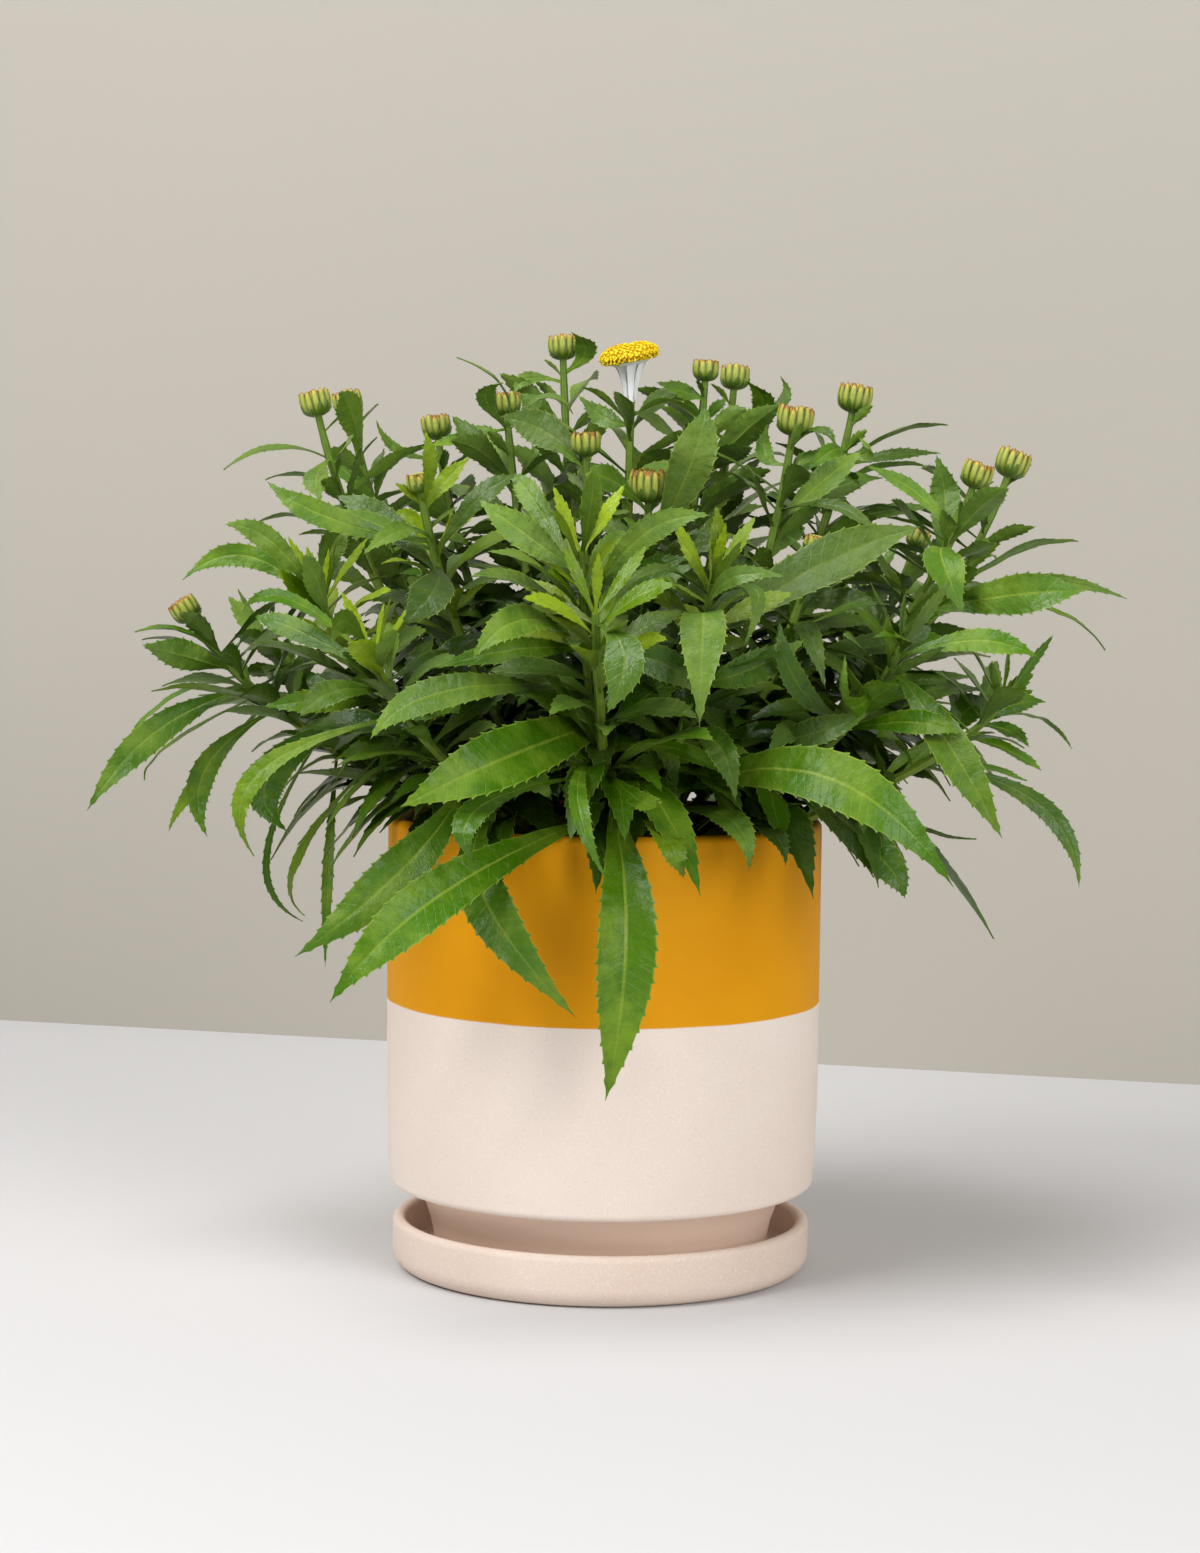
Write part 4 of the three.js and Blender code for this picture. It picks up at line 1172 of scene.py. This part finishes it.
def star_floret(surface, base, normal, radius, length, shade, petals):
    """A tiny tube whose mouth opens in a star."""
    axes = frame_axes(normal)
    sides = petals * 2
    for row, (r, h) in enumerate(FLORET_PROFILE):
        points = []
        for k in range(sides):
            star = FLORET_NOTCH if row == FLORET_MOUTH and k % 2 else 1
            out = around(axes, tau * k / sides)
            points.append(base + out * (radius * r * star) + normal * (h * length))
        surface.ring(points, along=clamp(h), shade=shade)
    surface.loft(len(FLORET_PROFILE), sides)


def bud_strip(surface, bud, turn, span, swell, wide, **marks):
    """One fleshy strip of a bud, which follows the bud's side from one height to another."""
    base, axes, radius, height = bud
    section = section_of(STRIP_COLUMNS)
    for step in range(STRIP_STEPS + 1):
        s = step / STRIP_STEPS
        r, h = profile_at(BUD_PROFILE, mix(*span, s))
        spread = wide * sin(pi * mix(0.2, 0.97, s)) ** 0.55
        points = []
        for v, level in section:
            crown = STRIP_CROWN * radius * (1 - v * v) + level * STRIP_HALF_THICKNESS
            out = around(axes, turn + v * spread) * (radius * r * swell + crown)
            points.append(inside_box(base + out + axes[2] * (h * height)))
        surface.ring(points, along=s, across=[v for v, _ in section], **marks)
    surface.loft(STRIP_STEPS + 1, len(section), slot=1)


def bud_florets(surface, base, axes, size, draw):
    """The closed florets that show in the mouth of a bud."""
    radius, height = size
    top = base + axes[2] * (height * BUD_FLORETS_HEIGHT)
    for k in range(BUD_FLORETS):
        reach = BUD_FLORETS_REACH * sqrt((k + 0.5) / BUD_FLORETS) * radius
        spot = top + around(axes, radians(k * GOLDEN_ANGLE)) * reach
        star_floret(surface, spot, axes[2], *BUD_FLORET_SIZE, next(draw), petals=3)


def bud_bracts(surface, bud, strips, draw):
    """Two layers of bracts and the short scales at their foot."""
    for layer, swell in STRIP_LAYERS:
        for k in range(strips):
            turn = tau * (k + 0.5 * layer + STRIP_JITTER * (next(draw) - 0.5)) / strips
            span = (STRIP_FOOT, between(draw, STRIP_TOP))
            swelled = swell * between(draw, STRIP_SWELL)
            bud_strip(surface, bud, turn, span, swelled, STRIP_WIDTH / strips, hue=next(draw))
    for k in range(SCALES):
        turn = tau * (k + SCALE_JITTER * next(draw)) / SCALES
        span = (0, between(draw, SCALE_TOP))
        bud_strip(surface, bud, turn, span, SCALE_SWELL, SCALE_WIDTH, under=1)


def build_bud(number, curve, width):
    axes = frame_axes(curve.tangent(1))
    base = curve.point(1) + axes[2] * GAP
    size = (width / 2, width * BUD_HEIGHT)
    draw = random_stream(BUD_SEED + number)
    surface = Surface()
    turned_rings(surface, base, axes, BUD_CORE_PROFILE, size, BUD_CORE_SIDES, along=0.3, shade=0.5)
    bud_florets(surface, base, axes, size, draw)
    bud = (base, axes, size[0] * STRIP_RADIUS, size[1])
    bud_bracts(surface, bud, round(width * STRIPS_PER_WIDTH), draw)
    name = f"bud_{number:02d}"
    make_piece(f"{name}_bracts", surface, (BUD_CORE, BRACT), "bud_bracts", name)


def bloom_frame(curve):
    tilt = radians(BLOOM_TILT)
    along = Vector((-sin(tilt), -BLOOM_NOD, cos(tilt))).normalized()
    return frame_axes(along), curve.point(1) + along * GAP


def build_disc(curve):
    axes, top = bloom_frame(curve)
    side, front, along = axes
    base = top + along * (RECEPTACLE_HEIGHT + GAP)
    radius, height = DISC_CORE
    draw = random_stream(DISC_SEED)
    surface = Surface()
    upwards = DISC_PROFILE[::-1]
    turned_rings(surface, base, axes, upwards, DISC_CORE, DISC_CORE_SIDES, along=0.1, shade=0.8)
    for k in range(FLORETS):
        share = FLORETS_REACH * sqrt((k + 0.5) / FLORETS)
        r, h = profile_at(DISC_PROFILE, share)
        next_r, next_h = profile_at(DISC_PROFILE, share + DISC_SLOPE_STEP)
        out = around(axes, radians(k * GOLDEN_ANGLE))
        slope = (out * (radius * (next_r - r)) + along * (height * (next_h - h))).normalized()
        normal = slope.cross(along.cross(out)).normalized()
        lean = (side * (next(draw) - 0.5) + front * (next(draw) - 0.5)) * FLORET_LEAN
        spot = base + out * (radius * r) + along * (h * height)
        width, length = between(draw, FLORET_RADIUS), between(draw, FLORET_LENGTH)
        shade = next(draw) * FLORET_SHADE
        star_floret(surface, spot, (normal + lean).normalized(), width, length, shade, petals=5)
    make_piece("disc_of_florets", surface, (DISC_FLORET,), "disc", "disc_florets", sharp=70)


def fine_ray(surface, midrib, outward):
    """One white ray: a narrow curved strip that hugs the stalk at its end."""
    section = section_of(RAY_COLUMNS)
    for step in range(RAY_STEPS + 1):
        t = step / RAY_STEPS
        way = midrib.tangent(t)
        across = square_to(way, outward)
        face = way.cross(across)
        rounding = 1 - 0.5 * clamp((t - RAY_ROUNDED_FROM) / (1 - RAY_ROUNDED_FROM))
        half = RAY_WIDTH / 2 * mix(1, RAY_END_WIDTH, t ** 0.7) * rounding
        points = []
        for v, level in section:
            lift = level * RAY_HALF_THICKNESS * (1 - EDGE_THINNING * abs(v)) - RAY_CURL * v * v * half
            points.append(midrib.point(t) + across * (v * half) + face * lift)
        surface.ring(points, along=t, across=[v for v, _ in section])
    surface.loft(RAY_STEPS + 1, len(section))


def build_rays(curve):
    axes, top = bloom_frame(curve)
    along = axes[2]
    draw = random_stream(RAY_SEED)
    surface = Surface()
    size = (DISC_RADIUS, RECEPTACLE_HEIGHT)
    turned_rings(surface, top, axes, RECEPTACLE_PROFILE, size, RECEPTACLE_SIDES, along=0.3)
    for ray in range(RAYS):
        layer = ray % 2
        out = around(axes, tau * (ray + RAY_JITTER * next(draw)) / RAYS)
        foot = top + along * (RECEPTACLE_HEIGHT * RAY_FOOT_HEIGHT) + out * RAY_FOOT_REACH[layer]
        end = along_stem(curve, RAY_END_PLACE) + out * RAY_END_REACH[layer]
        end.z = foot.z - between(draw, RAY_DROP)
        hollow = foot.lerp(end, RAY_HOLLOW_PLACE) - out * RAY_HOLLOW
        fine_ray(surface, Bezier(foot, hollow, end), out.cross(along))
    make_piece("rays_folded_down", surface, (RAY,), "rays", "ray_florets")


def arc(r, z, radius, start, end, steps):
    """Outline points on an arc about (r, z), from one angle to another in degrees."""
    angles = [radians(mix(start, end, k / steps)) for k in range(steps + 1)]
    return [(r + radius * cos(angle), z + radius * sin(angle)) for angle in angles]


def turned(outline):
    """A body of revolution from an outline of (radius, height) that starts and ends near the axis."""
    surface = Surface()
    for r, z in outline:
        surface.ring([out * r + UP * z for out in circle(TURNED_SIDES)], along=z)
    surface.loft(len(outline), TURNED_SIDES)
    return surface


def foot_point(out, up):
    return mix(FOOT_RADIUS, FOOT_TOP_RADIUS, out), mix(POT_BOTTOM, FOOT_TOP, up)


def body_point(out, up):
    return mix(BODY_LOW_RADIUS, POT_RADIUS, out), mix(BODY_BOTTOM + BODY_CORNER, BELLY_HEIGHT, up)


def build_pot():
    lip, inner = POT_WALL / 2, POT_RADIUS - POT_WALL
    outline = [
        (CENTRE_RADIUS, POT_BOTTOM),
        (FOOT_RADIUS - FOOT_EDGE, POT_BOTTOM),
        *arc(FOOT_RADIUS - 0.9 * FOOT_EDGE, POT_BOTTOM + FOOT_EDGE, FOOT_EDGE, -80, -10, 4),
        *(foot_point(out, up) for out, up in FOOT_FLARE),
        (FOOT_TOP_RADIUS, FOOT_TOP),
        *arc(BODY_LOW_RADIUS - BODY_CORNER, BODY_BOTTOM + BODY_CORNER, BODY_CORNER, -88, 0, 8),
        body_point(*BODY_SWELL),
        (POT_RADIUS, BELLY_HEIGHT),
        (POT_RADIUS, (BELLY_HEIGHT + POT_RIM) / 2),
        *arc(POT_RADIUS - lip, POT_RIM - lip, lip, 0, 180, 12),
        (inner, BELLY_HEIGHT),
        (inner, HAUNCH_TOP),
        (HAUNCH_RADIUS, HAUNCH_BOTTOM),
        (FOOT_TOP_RADIUS - POT_WALL, SHELF_HEIGHT),
        (FOOT_RADIUS - FOOT_WALL, POT_FLOOR),
        (CENTRE_RADIUS, POT_FLOOR),
    ]
    cream = ((238, 224, 212), (233, 217, 204))
    ochre = ((227, 156, 0), (219, 147, 0))
    ceramic = ceramic_material("pot_ceramic", cream, ochre)
    make_piece("pot_glazed", turned(outline), (ceramic,), "pot_ceramic", "pot", sharp=40)


def build_saucer():
    lip, inner = SAUCER_WALL / 2, SAUCER_RADIUS - SAUCER_WALL
    floor_edge = arc(inner - SAUCER_BEND, SAUCER_FLOOR + SAUCER_BEND, SAUCER_BEND, 0, -90, 5)
    outline = [
        (CENTRE_RADIUS, 0),
        (SAUCER_RADIUS - SAUCER_EDGE, 0),
        *arc(SAUCER_RADIUS - SAUCER_EDGE, SAUCER_EDGE, SAUCER_EDGE, -82, 0, 9),
        *arc(SAUCER_RADIUS - lip, SAUCER_HEIGHT - lip, lip, 0, 180, 12),
        *floor_edge[1:],
        (CENTRE_RADIUS, SAUCER_FLOOR),
    ]
    ceramic = ceramic_material("saucer_ceramic", ((232, 214, 200), (224, 203, 187)))
    make_piece("saucer_matte", turned(outline), (ceramic,), "saucer_ceramic", "saucer", sharp=40)


def soil_height(x, y):
    """The lumpy top of the soil, which sinks a little towards the pot's wall."""
    lumps = SOIL_LUMPS * (sin(x * 0.21 + y * 0.13) + cos(y * 0.27 - x * 0.08))
    crumbs = noise(Vector((x, y, 0)) * 0.16) * 1.6 + noise(Vector((x, y, 7)) * 0.45) * 0.9
    edge = clamp((hypot(x, y) - SOIL_EDGE_FROM) / SOIL_EDGE_WIDTH)
    return SOIL_LEVEL + (lumps + crumbs) * (1 - 0.5 * edge) - SOIL_EDGE_DROP * edge ** 2


def build_soil():
    surface = Surface()
    inside = (
        (FOOT_RADIUS - FOOT_WALL, POT_FLOOR),
        (FOOT_TOP_RADIUS - POT_WALL, SHELF_HEIGHT),
        (HAUNCH_RADIUS, HAUNCH_BOTTOM),
        (SOIL_RADIUS + GAP, HAUNCH_TOP),
        (SOIL_RADIUS + GAP, BELLY_HEIGHT),
    )
    for r, z in inside:
        surface.ring([out * (r - GAP) + UP * (z + GAP) for out in circle(SOIL_SIDES)])
    for row in range(SOIL_ROWS + 1):
        r = mix(SOIL_RADIUS, SOIL_MIDDLE, row / SOIL_ROWS)
        points = [out * r for out in circle(SOIL_SIDES)]
        surface.ring([Vector((p.x, p.y, soil_height(p.x, p.y))) for p in points])
    surface.loft(len(inside) + SOIL_ROWS + 1, SOIL_SIDES)
    make_piece("potting_mix", surface, (soil_material(),), "potting_soil", "soil", sharp=80)


def build_perlite():
    """White grains that lie on the soil."""
    surface = Surface()
    draw = random_stream(PERLITE_SEED)
    for _ in range(PERLITE_GRAINS):
        reach = PERLITE_REACH * sqrt(next(draw))
        spot = turn_vector(360 * next(draw)) * reach
        size = mix(*PERLITE_SIZE, next(draw) ** 2)
        centre = Vector((spot.x, spot.y, soil_height(spot.x, spot.y) + size * PERLITE_RISE))
        for row in range(PERLITE_ROWS):
            rise = radians(mix(-80, 80, row / (PERLITE_ROWS - 1)))
            points = []
            for out in circle(PERLITE_SIDES):
                way = out * cos(rise) + UP * (PERLITE_FLATNESS * sin(rise))
                points.append(centre + way * (size * between(draw, PERLITE_BUMPS)))
            surface.ring(points)
        surface.loft(PERLITE_ROWS, PERLITE_SIDES)
    make_piece("perlite_grains", surface, (perlite_material(),), "potting_soil", sharp=30)


def stage_plane(name, corners, tones, single_sided=False):
    mesh = bpy.data.meshes.new(name)
    mesh.from_pydata([Vector(corner) * MM for corner in corners], [], [(0, 1, 2, 3)])
    made = Nodes(name)
    made.paint(made.noise(2, 2), *tones)
    made.finish(0.85, gloss=0.15)
    if single_sided:
        see_through_back(made)
    mesh.materials.append(made.material)
    add_object(name, mesh)


def see_through_back(made):
    """Lets a plane be seen from its front only, so that the part can be looked at from behind."""
    clear = made.node("ShaderNodeBsdfTransparent")
    choose = made.node("ShaderNodeMixShader")
    made.link(made.node("ShaderNodeNewGeometry").outputs["Backfacing"], choose.inputs[0])
    made.link(made.shader.outputs[0], choose.inputs[1])
    made.link(clear.outputs[0], choose.inputs[2])
    made.link(choose.outputs[0], made.tree.nodes["Material Output"].inputs["Surface"])


def soft_light(name, place, size, power, color):
    data = bpy.data.lights.new(name, "AREA")
    data.shape = "DISK"
    data.size = size
    data.energy = power
    data.color = color
    lamp = add_object(name, data)
    lamp.location = Vector(place) * MM
    lamp.rotation_euler = (Vector(LIGHT_AIM) - Vector(place)).to_track_quat("-Z", "Y").to_euler()


def build_stage():
    ground = [(x * FLOOR_REACH, y * FLOOR_REACH, 0) for x, y in ((-1, -1), (1, -1), (1, 1), (-1, 1))]
    stage_plane("floor", ground, ((211, 210, 211), (214, 213, 214)))
    high = UP * WALL_HEIGHT
    wall = (WALL_LEFT, WALL_RIGHT, WALL_RIGHT + high, WALL_LEFT + high)
    stage_plane("wall", wall, ((182, 177, 167), (179, 174, 164)), single_sided=True)
    for light in LIGHTS:
        soft_light(*light)
    world = bpy.data.worlds.new("studio")
    world.use_nodes = True
    background = world.node_tree.nodes["Background"]
    background.inputs["Color"].default_value = WORLD_COLOR
    background.inputs["Strength"].default_value = WORLD_STRENGTH
    bpy.context.scene.world = world


def build_camera():
    data = bpy.data.cameras.new("camera")
    data.sensor_fit = "AUTO"
    data.sensor_width = SENSOR
    data.lens = FOCAL_PIXELS / PHOTO_HEIGHT * SENSOR
    data.clip_start, data.clip_end = 0.05, 20
    camera = add_object("camera", data)
    pitch = Matrix.Rotation(radians(90 - CAMERA_PITCH), 4, "X")
    roll = Matrix.Rotation(radians(CAMERA_ROLL), 4, "Z")
    camera.matrix_world = Matrix.Translation(Vector(CAMERA_PLACE) * MM) @ pitch @ roll
    bpy.context.scene.camera = camera


def build_all():
    curves = {number: stem_curve(tip) for number, tip, _, _ in STEMS}
    leaves = held_leaves(curves)
    for number, _, bud_width, _ in STEMS:
        build_leafy_stem(number, curves[number], bud_width, leaves[number])
    for number, _, bud_width, _ in STEMS:
        if bud_width:
            build_bud(number, curves[number], bud_width)
    build_disc(curves[BLOOM_STEM])
    build_rays(curves[BLOOM_STEM])
    build_pot()
    build_saucer()
    build_soil()
    build_perlite()
    build_stage()
    build_camera()
    bpy.context.scene.view_settings.view_transform = "Standard"


build_all()
